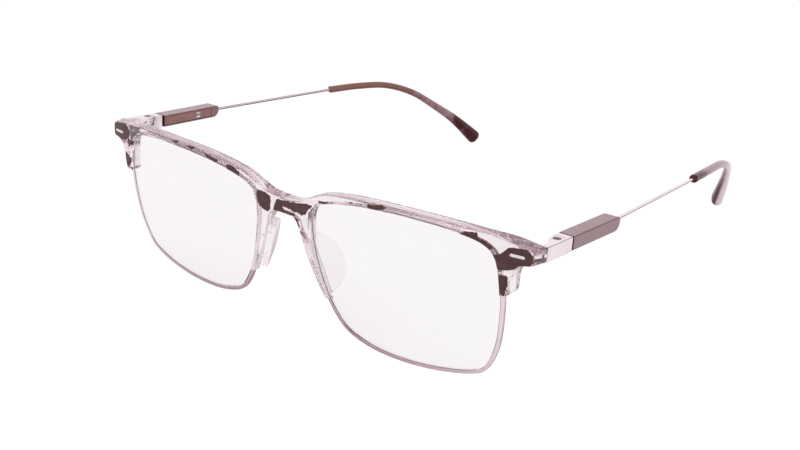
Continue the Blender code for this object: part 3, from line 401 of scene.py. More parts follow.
# Dark blotches of the acetate, as outlines seen from the front (x, z)
BLOTCHES = [
    # brow on the left-hand side
    [(-39.3, 40.3), (-37.1, 40.8), (-37.4, 40.0)],
    [(-33.0, 40.4), (-30.5, 40.5), (-31.6, 39.7)],
    [(-26.9, 39.8), (-25.3, 39.9), (-21.7, 39.3), (-22.6, 38.4), (-24.8, 38.8)],
    [(-18.7, 38.6), (-17.0, 38.9), (-14.3, 37.6), (-14.7, 36.3), (-18.3, 37.1)],
    # end-piece and lug on the left-hand side
    [(-70.0, 38.6), (-63.9, 39.0), (-61.6, 37.9), (-61.1, 36.3), (-63.1, 34.4), (-64.7, 34.0),
     (-66.2, 33.6), (-70.0, 34.6)],
    [(-62.5, 35.0), (-60.3, 34.9), (-60.1, 34.0), (-62.1, 32.8)],
    [(-63.9, 31.0), (-62.4, 30.2), (-61.6, 29.3), (-62.3, 27.0), (-63.9, 26.7)],
    # bridge
    [(-8.4, 34.2), (-7.4, 34.6), (-4.0, 33.6), (-4.4, 29.7), (-7.5, 30.1), (-8.6, 32.2)],
    [(-1.9, 33.3), (2.7, 33.9), (10.0, 34.9), (8.7, 33.2), (7.8, 31.8), (6.5, 31.3), (5.2, 31.6),
     (4.4, 30.6), (2.6, 30.2), (-2.7, 29.6)],
    [(3.9, 29.9), (4.5, 29.4), (5.1, 28.2), (5.8, 27.9), (5.4, 29.6), (4.6, 30.4)],
    # brow on the right-hand side
    [(12.3, 36.5), (14.0, 37.0), (17.3, 37.5), (15.7, 36.7), (12.9, 36.1)],
    [(20.3, 38.6), (23.7, 39.2), (27.2, 39.6), (24.7, 39.1)],
    [(27.9, 39.9), (30.6, 40.4), (33.3, 40.4), (32.1, 39.5), (30.0, 38.9), (28.1, 39.1)],
    [(52.2, 38.5), (53.5, 39.3), (55.4, 39.6), (56.4, 39.4), (56.7, 38.6), (58.5, 38.0),
     (60.2, 36.8), (59.4, 36.2), (57.9, 36.6), (55.9, 37.5), (54.0, 38.1)],
    # end-piece and lug on the right-hand side
    [(60.1, 35.2), (62.4, 36.3), (64.1, 37.9), (67.2, 38.2), (69.1, 37.6), (69.4, 34.9),
     (66.8, 33.6), (64.5, 32.6), (61.5, 32.0), (60.9, 33.8)],
    [(61.8, 30.8), (64.1, 31.0), (64.0, 28.7), (63.3, 26.0), (62.3, 26.0), (61.8, 28.1)],
]
# Clear streak that runs through the dark bridge
STREAK = [(0.3, 31.99), (2.0, 31.91), (3.93, 31.73), (5.52, 31.29), (6.06, 30.39), (5.26, 30.52),
          (3.91, 31.03), (2.21, 31.27), (0.73, 31.32)]


def front_faces(x, z):
    """Where the front and back faces of the front lie, before the bars are thinned."""
    bow = ((z - LENS_CENTRE[2]) ** 2 - (PLAN_Z - LENS_CENTRE[2]) ** 2) / (2 * LENS_RADIUS)
    lean = bow - tan(TILT) * (z - PLAN_Z) + DATUM_Y
    return plan_heights(FRONT_PLAN, x) + lean, plan_heights(BACK_PLAN, x) + lean


def bend_front(item):
    """Bend the flat blank, which lies in XY, to the plans of its front and back."""
    x, z, depth = points_of(item.data)
    t = 0.5 - depth / FLAT_DEPTH
    front, back = front_faces(x, z)
    bar = ease((BAR_TOP_Z - z) / BAR_BLEND) * (np.abs(x) < 2 * BAR_LENS_X)
    front = front + BAR_THIN_FRONT * bar
    back = back - BAR_THIN_BACK * bar
    lens_side = BAR_LENS_X + BAR_BOW * (BAR_TOP_Z - z) ** 2
    nose_side = np.clip((lens_side - np.abs(x)) / BAR_WIDTH, 0.0, 1.0)
    flare = END_FLARE * ease((np.abs(x) - FLARE_X) / FLARE_BLEND) + BAR_SPLAY * bar * nose_side
    put_points(item.data, x + np.sign(x) * flare * t, front + (back - front) * t, z)
    # the bend swaps two axes, which turns the faces inwards
    item.data.flip_normals()
    return item


def signed_distance(x, z, outline):
    """Distance to a closed outline, negative inside it, and the direction away from it."""
    nearest = np.full(x.shape, np.inf)
    away_x, away_z = np.zeros(x.shape), np.zeros(x.shape)
    inside = np.zeros(x.shape, bool)
    for (x0, z0), (x1, z1) in zip(outline, outline[1:] + outline[:1]):
        run_x, run_z = x1 - x0, z1 - z0
        if run_x == run_z == 0:
            continue
        t = np.clip(((x - x0) * run_x + (z - z0) * run_z) / (run_x ** 2 + run_z ** 2), 0, 1)
        dx, dz = x - x0 - t * run_x, z - z0 - t * run_z
        distance = np.hypot(dx, dz)
        nearer = distance < nearest
        nearest = np.where(nearer, distance, nearest)
        away_x, away_z = np.where(nearer, dx, away_x), np.where(nearer, dz, away_z)
        if run_z:
            inside ^= ((z0 > z) != (z1 > z)) & (x < x0 + (z - z0) * run_x / run_z)
    scale = np.where(inside, -1.0, 1.0)
    length = np.maximum(nearest, WELD)
    return scale * nearest, scale * away_x / length, scale * away_z / length


def relaxed(values, edges):
    """Each point's values, moved halfway to the mean of its neighbours' values."""
    ends = np.concatenate((edges[:, 0], edges[:, 1]))
    others = np.concatenate((edges[:, 1], edges[:, 0]))
    count = np.bincount(ends, minlength=len(values[0]))
    return [(v + np.bincount(ends, v[others], len(v)) / count) / 2 for v in values]


def press_to_outline(item, outline, depth):
    """Press the skin of a flat blank onto its exact outline, with edges of one even radius."""
    mesh = item.data
    edges = np.empty(len(mesh.edges) * 2, np.int32)
    mesh.edges.foreach_get("vertices", edges)
    edges = edges.reshape(-1, 2)
    x, z, n = points_of(mesh)
    for _ in range(PRESSES):
        x, z, n = relaxed((x, z, n), edges)
        sideways, away_x, away_z = signed_distance(x, z, outline)
        beyond_side = sideways + FRONT_ROUNDING
        beyond_face = np.abs(n) - depth / 2 + FRONT_ROUNDING
        corner = (beyond_side > 0) & (beyond_face > 0)
        reach = np.hypot(beyond_side, beyond_face)
        on_side = np.where(corner, beyond_side / np.maximum(reach, WELD), beyond_side > beyond_face)
        on_face = np.where(corner, beyond_face / np.maximum(reach, WELD), beyond_side <= beyond_face)
        gap = np.where(corner, reach, np.maximum(beyond_side, beyond_face)) - FRONT_ROUNDING
        x, z = x - gap * on_side * away_x, z - gap * on_side * away_z
        n = n - gap * on_face * np.sign(n)
    put_points(mesh, x, z, n)


def distance_to_patch(x, z, outline):
    """Signed distance to a patch whose outline is smoothed through its points."""
    places = range(len(outline) * BLOTCH_STEPS)
    edge = [tuple(along(outline, place / BLOTCH_STEPS, closed=True)) for place in places]
    return signed_distance(x, z, edge)[0]


def mark_sheet(item):
    """Keep each point's depth behind the front face and its distance to the nearest blotch."""
    x, y, z = points_of(item.data)
    blotch = np.full(x.shape, np.inf)
    for outline in BLOTCHES:
        blotch = np.minimum(blotch, distance_to_patch(x, z, outline))
    blotch = np.maximum(blotch, -distance_to_patch(x, z, STREAK))
    for name, values in (("depth", y - front_faces(x, z)[0]), ("blotch", blotch)):
        attribute = item.data.attributes.new(name, "FLOAT", "POINT")
        attribute.data.foreach_set("value", values.astype(np.float32))


def groove_cutter(name):
    """Room for the lens edge in the front, all round the opening."""
    half, shoulder = LENS_THICK / 2 + FACE_PLAY, GROOVE_SHOULDER
    profile = [(-GROOVE_REACH, half), (shoulder, half), (shoulder, GROOVE_HALF),
               (BEVEL_TIP + TIP_PLAY, 0), (shoulder, -GROOVE_HALF), (shoulder, -half),
               (-GROOVE_REACH, -half)]
    return loft(name, opening_ring(profile, 0, len(OPENING))[:-1], closed=True)


def make_front():
    """Polished acetate front: an even skin with soft edges, and the groove of both lenses."""
    outline = front_outline()
    front = prism("acetate_front", outline, FLAT_DEPTH)
    skin = front.modifiers.new("even_skin", "REMESH")
    skin.mode = "VOXEL"
    skin.voxel_size = REMESH_VOXEL * MM
    soften = front.modifiers.new("soft_edges", "SMOOTH")
    soften.factor = 0.5
    soften.iterations = EDGE_ROUNDING_STEPS
    bake(front)
    press_to_outline(front, outline, FLAT_DEPTH)
    bend_front(front)
    groove = groove_cutter("groove_right")
    combine(front, [mirror(groove, "groove_left"), groove], "DIFFERENCE")
    mark_sheet(front)
    return smooth(front, FRONT_CREASE)


# ---------------------------------------------------------------- nose pads and temples

def pad_axes():
    """Axes of the fin: p down the nasal bar, q back and outwards, and the thickness."""
    p_axis = Vector(PAD_AXIS).normalized()
    q_axis = Vector((sin(PAD_SPREAD), cos(PAD_SPREAD), 0))
    q_axis = (q_axis - p_axis * q_axis.dot(p_axis)).normalized()
    return p_axis, q_axis, p_axis.cross(q_axis)


def make_pad():
    """Soft clear fin with the two pegs that hold it."""
    p_axis, q_axis, thickness_axis = pad_axes()
    centre = Vector(PAD_CENTRE) + Vector((0, DATUM_Y, 0))
    matrix = Matrix.Translation(centre * MM)
    matrix = matrix @ Matrix((p_axis, q_axis, thickness_axis)).transposed().to_4x4()
    pad = prism("pad", smooth_run(PAD_OUTLINE, PAD_STEPS), PAD_THICK, matrix)
    bevel(pad, PAD_EDGE, PAD_EDGE_STEPS)
    reach = Vector((0, PAD_PEG_LENGTH + PAD_PEG_INSIDE, 0))
    pegs = []
    for side in (-1, 1):
        root = centre + p_axis * PAD_PEG_AT * side + q_axis * PAD_PEG_INSIDE
        pegs.append(rod("peg", root, root - reach, PAD_PEG_RADIUS))
    return smooth(combine(pad, pegs, "UNION"), PAD_CREASE)


def temple_matrix():
    """From the temple frame at the right-hand pin to the world."""
    place = Vector(PIVOT) + Vector((0, DATUM_Y, 0))
    return Matrix.Translation(place * MM) @ Matrix.Rotation(-TEMPLE_DROP, 4, "X")


def make_wire():
    """Drawn temple wire from the module into the tip, swollen where it leaves the module."""
    exit_place, tip_place = Vector(WIRE_EXIT), Vector(TIP_START)
    run = (tip_place - exit_place).normalized()
    stations = [(Vector(WIRE_START), WIRE_RADIUS), (exit_place, WIRE_RADIUS), (exit_place, WIRE_COLLAR)]
    for share in COLLAR_SHARES:
        radius = WIRE_RADIUS + (WIRE_COLLAR - WIRE_RADIUS) * (1 - share) ** WIRE_COLLAR_FALL
        stations.append((exit_place + run * WIRE_COLLAR_LENGTH * share, radius))
    stations += [(tip_place, WIRE_RADIUS), (Vector(WIRE_END), WIRE_RADIUS)]
    side = run.cross(Vector((0, 0, 1))).normalized()
    top = side.cross(run)
    rings = []
    for place, radius in stations:
        angles = [2 * pi * step / ROUND_SIDES for step in range(ROUND_SIDES)]
        rings.append([place + (side * cos(a) + top * sin(a)) * radius for a in angles])
    wire = loft("wire", rings)
    wire.data.transform(temple_matrix())
    return smooth(wire, ROUND_CREASE)


def tip_ring(centre, direction, width, height):
    """Rounded section of the tip across its path."""
    side = direction.cross(Vector((0, 0, 1))).normalized()
    top = side.cross(direction).normalized()
    ring = []
    for step in range(ROUND_SIDES):
        angle = 2 * pi * step / ROUND_SIDES
        across = copysign(abs(cos(angle)) ** TIP_SQUARENESS, cos(angle)) * width / 2
        upwards = copysign(abs(sin(angle)) ** TIP_SQUARENESS, sin(angle)) * height / 2
        ring.append(centre + side * across + top * upwards)
    return ring


def mouth_rings(centre, direction, width, height):
    """Rings of the rounded edge round the wire."""
    rings = []
    for angle in MOUTH_ANGLES:
        along_mouth = TIP_MOUTH * sin(radians(angle))
        less = 2 * (TIP_MOUTH - along_mouth)
        rings.append(tip_ring(centre + direction * along_mouth, direction, width - less, height - less))
    return rings


def end_rings(centre, direction, width, height):
    """Rings of the round end."""
    rings = []
    for step in range(1, TIP_END_RINGS + 1):
        angle = pi / 2 * step / (TIP_END_RINGS + TIP_END_OPEN)
        rings.append(tip_ring(centre + direction * TIP_END_REACH * sin(angle), direction,
                              width * cos(angle), height * cos(angle)))
    return rings


def make_tip():
    """Acetate tip with a rounded mouth, bent down and inwards to its round end."""
    stations = smooth_run(TIP_PATH, TIP_STEPS)
    last = len(stations) - 1
    rings = []
    for index, station in enumerate(stations):
        centre = Vector(station[:3])
        near = Vector(stations[max(index - 1, 0)][:3])
        far = Vector(stations[min(index + 1, last)][:3])
        direction = (far - near).normalized()
        if index == 0:
            rings += mouth_rings(centre, direction, *station[3:])
            centre = centre + direction * TIP_MOUTH
        rings.append(tip_ring(centre, direction, *station[3:]))
    rings += end_rings(centre, direction, *stations[last][3:])
    tip = loft("tip", rings)
    tip.data.transform(temple_matrix())
    return smooth(tip, ROUND_CREASE)


# ---------------------------------------------------------------- colours and finishes

STEEL, ROSE, PLAQUE = (0.92, 0.88, 0.90), (0.86, 0.78, 0.81), (0.86, 0.82, 0.83)
SCREW, PLATING = (0.20, 0.14, 0.14), (0.8, 0.77, 0.77)
RUBBER, COVER = (0.02, 0.014, 0.014), (0.30, 0.155, 0.13)
HOUSING_DARK, HOUSING_LIGHT = (0.25, 0.163, 0.176), (0.28, 0.183, 0.197)
FOIL_DARK, FOIL_LIGHT = (0.45, 0.45, 0.47), (0.7, 0.7, 0.72)
LAMINATE, TRACKS = (0.01, 0.09, 0.035), (0.05, 0.22, 0.09)
TABLE_DARK, TABLE_LIGHT = (0.03, 0.03, 0.03), (0.05, 0.05, 0.05)

# the middle colour is painted shade of the acetate's level faces
CLEAR, EDGEWISE_SHADE, AMBER = (0.985, 0.975, 0.98), (0.60, 0.48, 0.52), (0.30, 0.17, 0.13)
TORTOISE, TORTOISE_LIGHT = (0.040, 0.008, 0.009), (0.075, 0.026, 0.029)
TORTOISE_RANGE = (0.35, 0.75)
ACETATE_TINT, ACETATE_DENSITY, ACETATE_IOR = (0.66, 0.42, 0.47), 62.0, 1.49
CLARITY, EDGEWISE_SHADE_CLARITY = 0.94, 0.45      # shares of light that clear acetate and acetate under the painted shade of its level faces let through
INK_DEPTH = 0.7           # the dark sheet is this thick (mm)
INK_UNEVEN = 0.22         # the edges of the blotches wander this far (mm)
INK_TO_AMBER, AMBER_TO_CLEAR = (-0.14, -0.04), (-0.03, 0.03)    # bands at the edge of a blotch (mm)
INK_OPAQUE = (-0.06, 0.02)  # band in which the light gets stopped (mm)
EDGEWISE_SHADE_RIGHT, EDGEWISE_SHADE_LEFT = (42.0, 60.0), (8.0, 26.0)       # the painted shade of the level faces grows in these spans sideways (mm)
EDGEWISE_SHADE_LEVEL, EDGEWISE_SHADE_STREAK = (0.6, 0.95), (0.38, 0.62)     # steepness and noise at which it grows
EDGEWISE_SHADE_LEAST, STREAK_LEAST = 0.4, 0.25    # shares of it near the nose and between its streaks

LENS_TINT, LENS_ABSORBS, LENS_DENSITY, LENS_IOR = (0.912, 0.895, 0.915), (0.85, 0.78, 0.85), 30.0, 1.5
PAD_TINT, PAD_ABSORBS, PAD_DENSITY, PAD_IOR = (0.97, 0.955, 0.965), (0.8, 0.72, 0.76), 70.0, 1.41

# Grains are stretched: so many times longer than wide along X, Y and Z
# the second grain streaks the painted shade of the acetate's level faces
EVEN_GRAIN, EDGEWISE_SHADE_GRAIN, HINGE_GRAIN, WIRE_GRAIN = (1, 1, 1), (16, 1, 1), (1, 12, 1), (1, 30, 1)
# the first colour is painted shade of the wire's lower side
WIRE_PAINTED_SHADE, WIRE_DARK, WIRE_LIGHT = (0.36, 0.26, 0.29), (0.86, 0.78, 0.81), (0.93, 0.86, 0.88)
WIRE_SHADE_FACING = (-0.1, 0.45)  # height of the face's direction, from the painted shade to none

SEAM_TONE, PAINTED_REFLECTION_SHARE = (0.085, 0.022, 0.024), 0.35     # plastic's seam; share of a metal's colour in its painted dark reflection
SEAM_AND_REFLECTION_BLEND = 0.05         # mm
MODULE_SEAM, HINGE_PAINTED_REFLECTION = (1.5, 1.35), (1.74, 1.6)      # beginnings outwards and upwards (mm) of the module's seam and of the hinge's painted dark reflection
MODULE_DARK_END = 4.6     # the front end of the shell is dark up to here behind the pin (mm)

TIP_BROWN, TIP_MAUVE, TIP_DARK = (0.24, 0.12, 0.095), (0.37, 0.275, 0.29), (0.060, 0.012, 0.013)
# painted highlight of the tip's outer side towards its end
TIP_PAINTED_HIGHLIGHT = (0.93, 0.84, 0.87)
TIP_SPAN = (14.0, 76.0)  # the tips lie between these Y at rest (mm)
TIP_UNEVEN = 0.06         # share of the tip that its colours wander
TIP_HIGHLIGHT_FACING, TIP_HIGHLIGHT_SPAN = (-0.1, 0.35), (0.45, 0.62)     # facing and share of the tip that get the painted highlight
TIP_STOPS = {
    "right": [(0.0, TIP_DARK), (0.09, TIP_DARK), (0.16, TIP_MAUVE), (0.64, TIP_MAUVE),
              (0.78, TIP_DARK)],
    "left": [(0.0, TIP_BROWN), (0.62, TIP_BROWN), (0.68, TIP_MAUVE), (0.73, TIP_BROWN),
             (0.78, TIP_MAUVE), (0.86, TIP_DARK)],
}
NOISE_RANGE = (0.3, 0.7)  # most of a noise lies in this range


def scaled(colour, share):
    """The colour, lighter or darker, and at most white."""
    return tuple(min(1.0, value * share) for value in colour)


def set_stops(ramp, stops):
    """Give a new ramp its stops, as (position, colour)."""
    while len(ramp.elements) < len(stops):
        ramp.elements.new(0.5)
    for element, (position, colour) in zip(ramp.elements, stops):
        element.position = position
        element.color = (*colour, 1.0)


# ---------------------------------------------------------------- materials

class Look:
    """A material's node tree, with short names for the nodes that the looks are made of."""

    def __init__(self, name):
        self.material = bpy.data.materials.new(name)
        self.material.use_nodes = True
        self.tree = self.material.node_tree
        self.shader = self.tree.nodes["Principled BSDF"]
        self.output = self.tree.nodes["Material Output"]
        self.place = self.millimetres()

    def node(self, kind, **settings):
        made = self.tree.nodes.new(kind)
        for key, value in settings.items():
            setattr(made, key, value)
        return made

    def link(self, source, target):
        self.tree.links.new(source, target)

    def put(self, value, socket):
        """Link a socket's output or set a plain value."""
        if isinstance(value, bpy.types.NodeSocket):
            self.link(value, socket)
        else:
            socket.default_value = value

    def millimetres(self):
        """The point on the surface, in millimetres from the origin."""
        source = self.node("ShaderNodeTexCoord")
        scale = self.node("ShaderNodeVectorMath", operation="SCALE")
        scale.inputs["Scale"].default_value = 1 / MM
        self.link(source.outputs["Object"], scale.inputs[0])
        return scale.outputs[0]

    def kept(self, name):
        """A value that the mesh keeps at its points."""
        return self.node("ShaderNodeAttribute", attribute_name=name).outputs["Fac"]

    def mapped(self, vector, location=(0, 0, 0), turn=(0, 0, 0), size=(1, 1, 1)):
        """The vector seen from a box of that size, turned and placed at location."""
        mapping = self.node("ShaderNodeMapping", vector_type="TEXTURE")
        mapping.inputs["Location"].default_value = location
        mapping.inputs["Rotation"].default_value = turn
        mapping.inputs["Scale"].default_value = size
        self.link(vector, mapping.inputs["Vector"])
        return mapping.outputs[0]

    def noise(self, feature, detail=3.0, grain=None, offset=0.0):
        """Noise whose features are about that many millimetres across, from 0 to 1."""
        made = self.node("ShaderNodeTexNoise", noise_dimensions="4D")
        made.inputs["W"].default_value = offset
        made.inputs["Scale"].default_value = 1 / feature
        made.inputs["Detail"].default_value = detail
        self.link(self.mapped(self.place, size=grain) if grain else self.place, made.inputs["Vector"])
        return made.outputs["Fac"]

    def math(self, operation, first, second=0.0):
        made = self.node("ShaderNodeMath", operation=operation)
        self.put(first, made.inputs[0])
        self.put(second, made.inputs[1])
        return made.outputs[0]

    def vector_math(self, operation, first, second):
        made = self.node("ShaderNodeVectorMath", operation=operation)
        self.put(first, made.inputs[0])
        self.put(second, made.inputs[1])
        return made.outputs["Value"] if operation == "LENGTH" else made.outputs[0]

    def between(self, value, low, high, at_low, at_high):
        """The value's range low to high, carried to at_low to at_high and clamped."""
        made = self.node("ShaderNodeMapRange", clamp=True)
        for socket, number in zip(("From Min", "From Max", "To Min", "To Max"),
                                  (low, high, at_low, at_high)):
            made.inputs[socket].default_value = number
        self.link(value, made.inputs["Value"])
        return made.outputs[0]

    def facing(self):
        """Direction that the surface faces, as its X, Y and Z."""
        return self.apart(self.node("ShaderNodeTexCoord").outputs["Normal"])

    def apart(self, vector):
        """X, Y and Z of a vector."""
        made = self.node("ShaderNodeSeparateXYZ")
        self.link(vector, made.inputs[0])
        return made.outputs

    def spread(self, noise, at_low, at_high):
        """A noise, carried from its usual range to at_low to at_high."""
        return self.between(noise, *NOISE_RANGE, at_low, at_high)

    def ramp(self, value, stops):
        """Colour of a value; stops are (position, colour)."""
        made = self.node("ShaderNodeValToRGB")
        set_stops(made.color_ramp, stops)
        self.link(value, made.inputs["Fac"])
        return made.outputs["Color"]

    def blend(self, noise, dark, light):
        """Two colours, blended over a noise's usual range."""
        return self.ramp(noise, list(zip(NOISE_RANGE, (dark, light))))

    def mix(self, share, first, second):
        """First colour where share is 0, second where it is 1."""
        made = self.node("ShaderNodeMix", data_type="RGBA")
        self.put(share, made.inputs["Factor"])
        for name, value in (("A", first), ("B", second)):
            socket = [s for s in made.inputs if s.name == name and s.type == "RGBA"][0]
            self.put((*value, 1.0) if isinstance(value, tuple) else value, socket)
        return [s for s in made.outputs if s.type == "RGBA"][0]

    def relief(self, height, depth):
        """Bump of a height from 0 to 1 that is depth millimetres high."""
        made = self.node("ShaderNodeBump")
        made.inputs["Distance"].default_value = depth * MM
        self.link(height, made.inputs["Height"])
        self.link(made.outputs[0], self.shader.inputs["Normal"])

    def absorb(self, colour, density):
        """Light that passes through takes on the colour; density is per metre."""
        made = self.node("ShaderNodeVolumeAbsorption")
        made.inputs["Color"].default_value = (*colour, 1.0)
        made.inputs["Density"].default_value = density
        self.link(made.outputs[0], self.output.inputs["Volume"])

    def surface(self, colour, roughness, **constants):
        """Colour and roughness of the surface, and plain values of other sockets."""
        self.put(colour, self.shader.inputs["Base Color"])
        self.put(roughness, self.shader.inputs["Roughness"])
        for name, value in constants.items():
            self.put(value, self.shader.inputs[name.replace("_", " ")])
        return self.material


def metal(name, colour, rough, grain=EVEN_GRAIN, reflection_line=None):
    """Polished or brushed metal, with a painted dark reflection along its upper outer edge if it is
    given one.
    """
    look = Look(name)
    fine = look.noise(feature=0.25, detail=4.0, grain=grain)
    tone = look.blend(look.noise(feature=3.0, detail=2.0), scaled(colour, 0.9), colour)
    if reflection_line:
        # painted dark reflection along the upper outer edge, standing in for the dark surroundings that
        # the bevel mirrors
        tone = look.mix(along_upper_edge(look, *reflection_line)[0], tone, scaled(colour, PAINTED_REFLECTION_SHARE))
    look.relief(fine, depth=0.004)
    return look.surface(tone, look.spread(fine, rough * 0.7, rough * 1.4), Metallic=1.0)


def along_upper_edge(look, outwards, upwards):
    """Share of the dark line that begins outwards and upwards of the pin, and the place along it: the
    plastic shell's seam, and the hinge metal's painted dark reflection.
    """
    folded = look.vector_math("ABSOLUTE", look.place, (0, 0, 0))
    pin = (PIVOT[0], -PIVOT[1] - DATUM_Y, PIVOT[2])
    # folding turns Y round, since the hinges and modules lie in front of the origin
    from_pin = look.apart(look.mapped(folded, pin, (TEMPLE_DROP, 0, 0)))
    side = look.between(from_pin["X"], outwards, outwards + SEAM_AND_REFLECTION_BLEND, 0.0, 1.0)
    top = look.between(from_pin["Z"], upwards, upwards + SEAM_AND_REFLECTION_BLEND, 0.0, 1.0)
    return look.math("MULTIPLY", side, top), from_pin["Y"]


def drawn_wire():
    """Polished drawn wire, with painted shade along its lower side."""
    look = Look("wire_metal")
    fine = look.noise(feature=0.25, detail=4.0, grain=WIRE_GRAIN)
    light = look.blend(look.noise(feature=3.0, detail=2.0), WIRE_DARK, WIRE_LIGHT)
    # painted shade: faces that look downwards get the dark colour
    low = look.between(look.facing()["Z"], *WIRE_SHADE_FACING, 1.0, 0.0)
    look.relief(fine, depth=0.004)
    return look.surface(look.mix(low, light, WIRE_PAINTED_SHADE), look.spread(fine, 0.12, 0.22), Metallic=1.0)


def module_shell():
    """Moulded shell of the module, dark along its upper outer edge and at its front end."""
    look = Look("housing_plastic")
    fine = look.noise(feature=0.12)
    tone = look.blend(look.noise(feature=4.0), HOUSING_DARK, HOUSING_LIGHT)
    edge, place = along_upper_edge(look, *MODULE_SEAM)
    front = look.between(place, -MODULE_DARK_END - SEAM_AND_REFLECTION_BLEND, -MODULE_DARK_END, 0.0, 1.0)
    tone = look.mix(look.math("MAXIMUM", edge, front), tone, SEAM_TONE)
    look.relief(fine, depth=0.003)
    return look.surface(tone, look.spread(fine, 0.16, 0.28), Coat_Weight=0.3, Coat_Roughness=0.05)


def plastic(name, colour, rough, coat=0.0, speckle=0.15):
    """Moulded plastic or rubber with a fine grain."""
    look = Look(name)
    fine = look.noise(feature=0.12)
    tone = look.blend(look.noise(feature=4.0), scaled(colour, 1 - speckle), scaled(colour, 1 + speckle))
    look.relief(fine, depth=0.003)
    return look.surface(tone, look.spread(fine, rough * 0.75, rough * 1.3), Coat_Weight=coat,
                        Coat_Roughness=0.05)


def edgewise_shade_of(look):
    """Streaky painted shade of the level faces, standing in for the darker mauve seen where one looks
    along the sheet; fuller to the sides.
    """
    sideways = look.apart(look.place)["X"]
    level = look.between(look.math("ABSOLUTE", look.facing()["Z"]), *EDGEWISE_SHADE_LEVEL, 0.0, 1.0)
    to_left = look.between(look.math("MULTIPLY", sideways, -1.0), *EDGEWISE_SHADE_LEFT, EDGEWISE_SHADE_LEAST, 1.0)
    to_right = look.between(sideways, *EDGEWISE_SHADE_RIGHT, EDGEWISE_SHADE_LEAST, 1.0)
    streak = look.noise(feature=0.45, grain=EDGEWISE_SHADE_GRAIN)
    streaky = look.math("MULTIPLY", level, look.between(streak, *EDGEWISE_SHADE_STREAK, STREAK_LEAST, 1.0))
    return look.math("MULTIPLY", streaky, look.math("MAXIMUM", to_right, to_left))


def acetate_front():
    """Clear acetate with a thin layer of dark tortoise blotches behind its front face."""
    look = Look("crystal_acetate")
    uneven = look.spread(look.noise(feature=1.1), -INK_UNEVEN, INK_UNEVEN)
    blotch = look.math("ADD", look.kept("blotch"), uneven)
    beyond = look.math("SUBTRACT", look.kept("depth"), INK_DEPTH)
    field = look.math("MAXIMUM", blotch, beyond)
    # painted mauve shade of the level faces, which also lets less light through
    edgewise_shade = edgewise_shade_of(look)
    dark = look.ramp(look.noise(feature=1.5), list(zip(TORTOISE_RANGE, (TORTOISE, TORTOISE_LIGHT))))
    tone = look.mix(look.between(field, *INK_TO_AMBER, 0.0, 1.0), dark, AMBER)
    tone = look.mix(look.between(field, *AMBER_TO_CLEAR, 0.0, 1.0), tone, look.mix(edgewise_shade, CLEAR, EDGEWISE_SHADE))
    through = look.math("MULTIPLY", look.between(field, *INK_OPAQUE, 0.0, CLARITY),
                        look.between(edgewise_shade, 0.0, 1.0, 1.0, EDGEWISE_SHADE_CLARITY))
    polish = look.noise(feature=0.8)
    look.relief(polish, depth=0.002)
    look.absorb(ACETATE_TINT, ACETATE_DENSITY)
    return look.surface(tone, look.spread(polish, 0.02, 0.05), IOR=ACETATE_IOR,
                        Transmission_Weight=through)


def clear_solid(name, tint, rough, ior, absorbs, density):
    """Clear lens or silicone: a faint tint, an even polish and a little absorption."""
    look = Look(name)
    cloud = look.noise(feature=6.0, detail=2.0)
    look.relief(cloud, depth=0.0004)
    look.absorb(absorbs, density)
    return look.surface(look.blend(cloud, tint, scaled(tint, 1.01)),
                        look.spread(cloud, rough * 0.7, rough * 1.3), IOR=ior, Transmission_Weight=1.0)


def tip_acetate(side, outwards):
    """Brown tortoise tip, dark at its end, with a painted highlight on its outer side towards the end.
    """
    look = Look("tip_acetate_" + side)
    position = look.between(look.apart(look.place)["Y"], *TIP_SPAN, 0.0, 1.0)
    uneven = look.spread(look.noise(feature=4.0, offset=outwards), -TIP_UNEVEN, TIP_UNEVEN)
    tone = look.ramp(look.math("ADD", position, uneven), TIP_STOPS[side])
    # painted highlight: outer faces towards the end get a pale colour, standing in for the white that
    # they reflect
    outer = look.between(look.math("MULTIPLY", look.facing()["X"], outwards), *TIP_HIGHLIGHT_FACING, 0.0, 1.0)
    painted_highlight = look.math("MULTIPLY", outer, look.between(position, *TIP_HIGHLIGHT_SPAN, 0.0, 1.0))
    polish = look.noise(feature=0.8)
    look.relief(polish, depth=0.002)
    return look.surface(look.mix(painted_highlight, tone, TIP_PAINTED_HIGHLIGHT), look.spread(polish, 0.14, 0.24),
                        Coat_Weight=0.15, Coat_Roughness=0.06, Specular_IOR_Level=0.3)


def board_laminate():
    """Green laminate with fine lighter tracks."""
    look = Look("board_laminate")
    tracks = look.node("ShaderNodeTexBrick")
    tracks.inputs["Scale"].default_value = 1.6
    tracks.inputs["Mortar Size"].default_value = 0.04
    look.link(look.mapped(look.place, turn=(0, pi / 2, 0)), tracks.inputs["Vector"])
    lines = tracks.outputs["Fac"]
    look.relief(lines, depth=0.01)
    return look.surface(look.mix(lines, LAMINATE, TRACKS), look.between(lines, 0.0, 1.0, 0.45, 0.3))


def cell_foil():
    """Crinkled foil pouch of the cell."""
    look = Look("cell_foil")
    crinkle = look.noise(feature=0.6, detail=5.0)
    look.relief(crinkle, depth=0.03)
    return look.surface(look.blend(crinkle, FOIL_DARK, FOIL_LIGHT), look.spread(crinkle, 0.25, 0.45),
                        Metallic=0.9)


# ---------------------------------------------------------------- dressing the frame

def coat(item, material):
    """Make this the only material of a piece."""
    item.data.materials.clear()
    item.data.materials.append(material)


def dress(name, material):
    """Give a CAD node its material."""
    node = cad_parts[name]
    coat(node, material)


def stand_in(item, name, body, material, node):
    """A finer piece that is shown in place of a CAD node."""
    item.name = name
    item.data.name = name
    coat(item, material)
    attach(item, body)
    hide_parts(node)


def paired(item, label, body, materials):
    """The right-hand piece and its mirror image, each standing in for its CAD node."""
    copy = mirror(item, label + "_left_fine")
    for (side, _), piece, material in zip(SIDES, (item, copy), materials):
        place = body if body == "front" else f"{body}_{side}"
        stand_in(piece, f"{label}_{side}_fine", place, material, f"{label}_{side}")


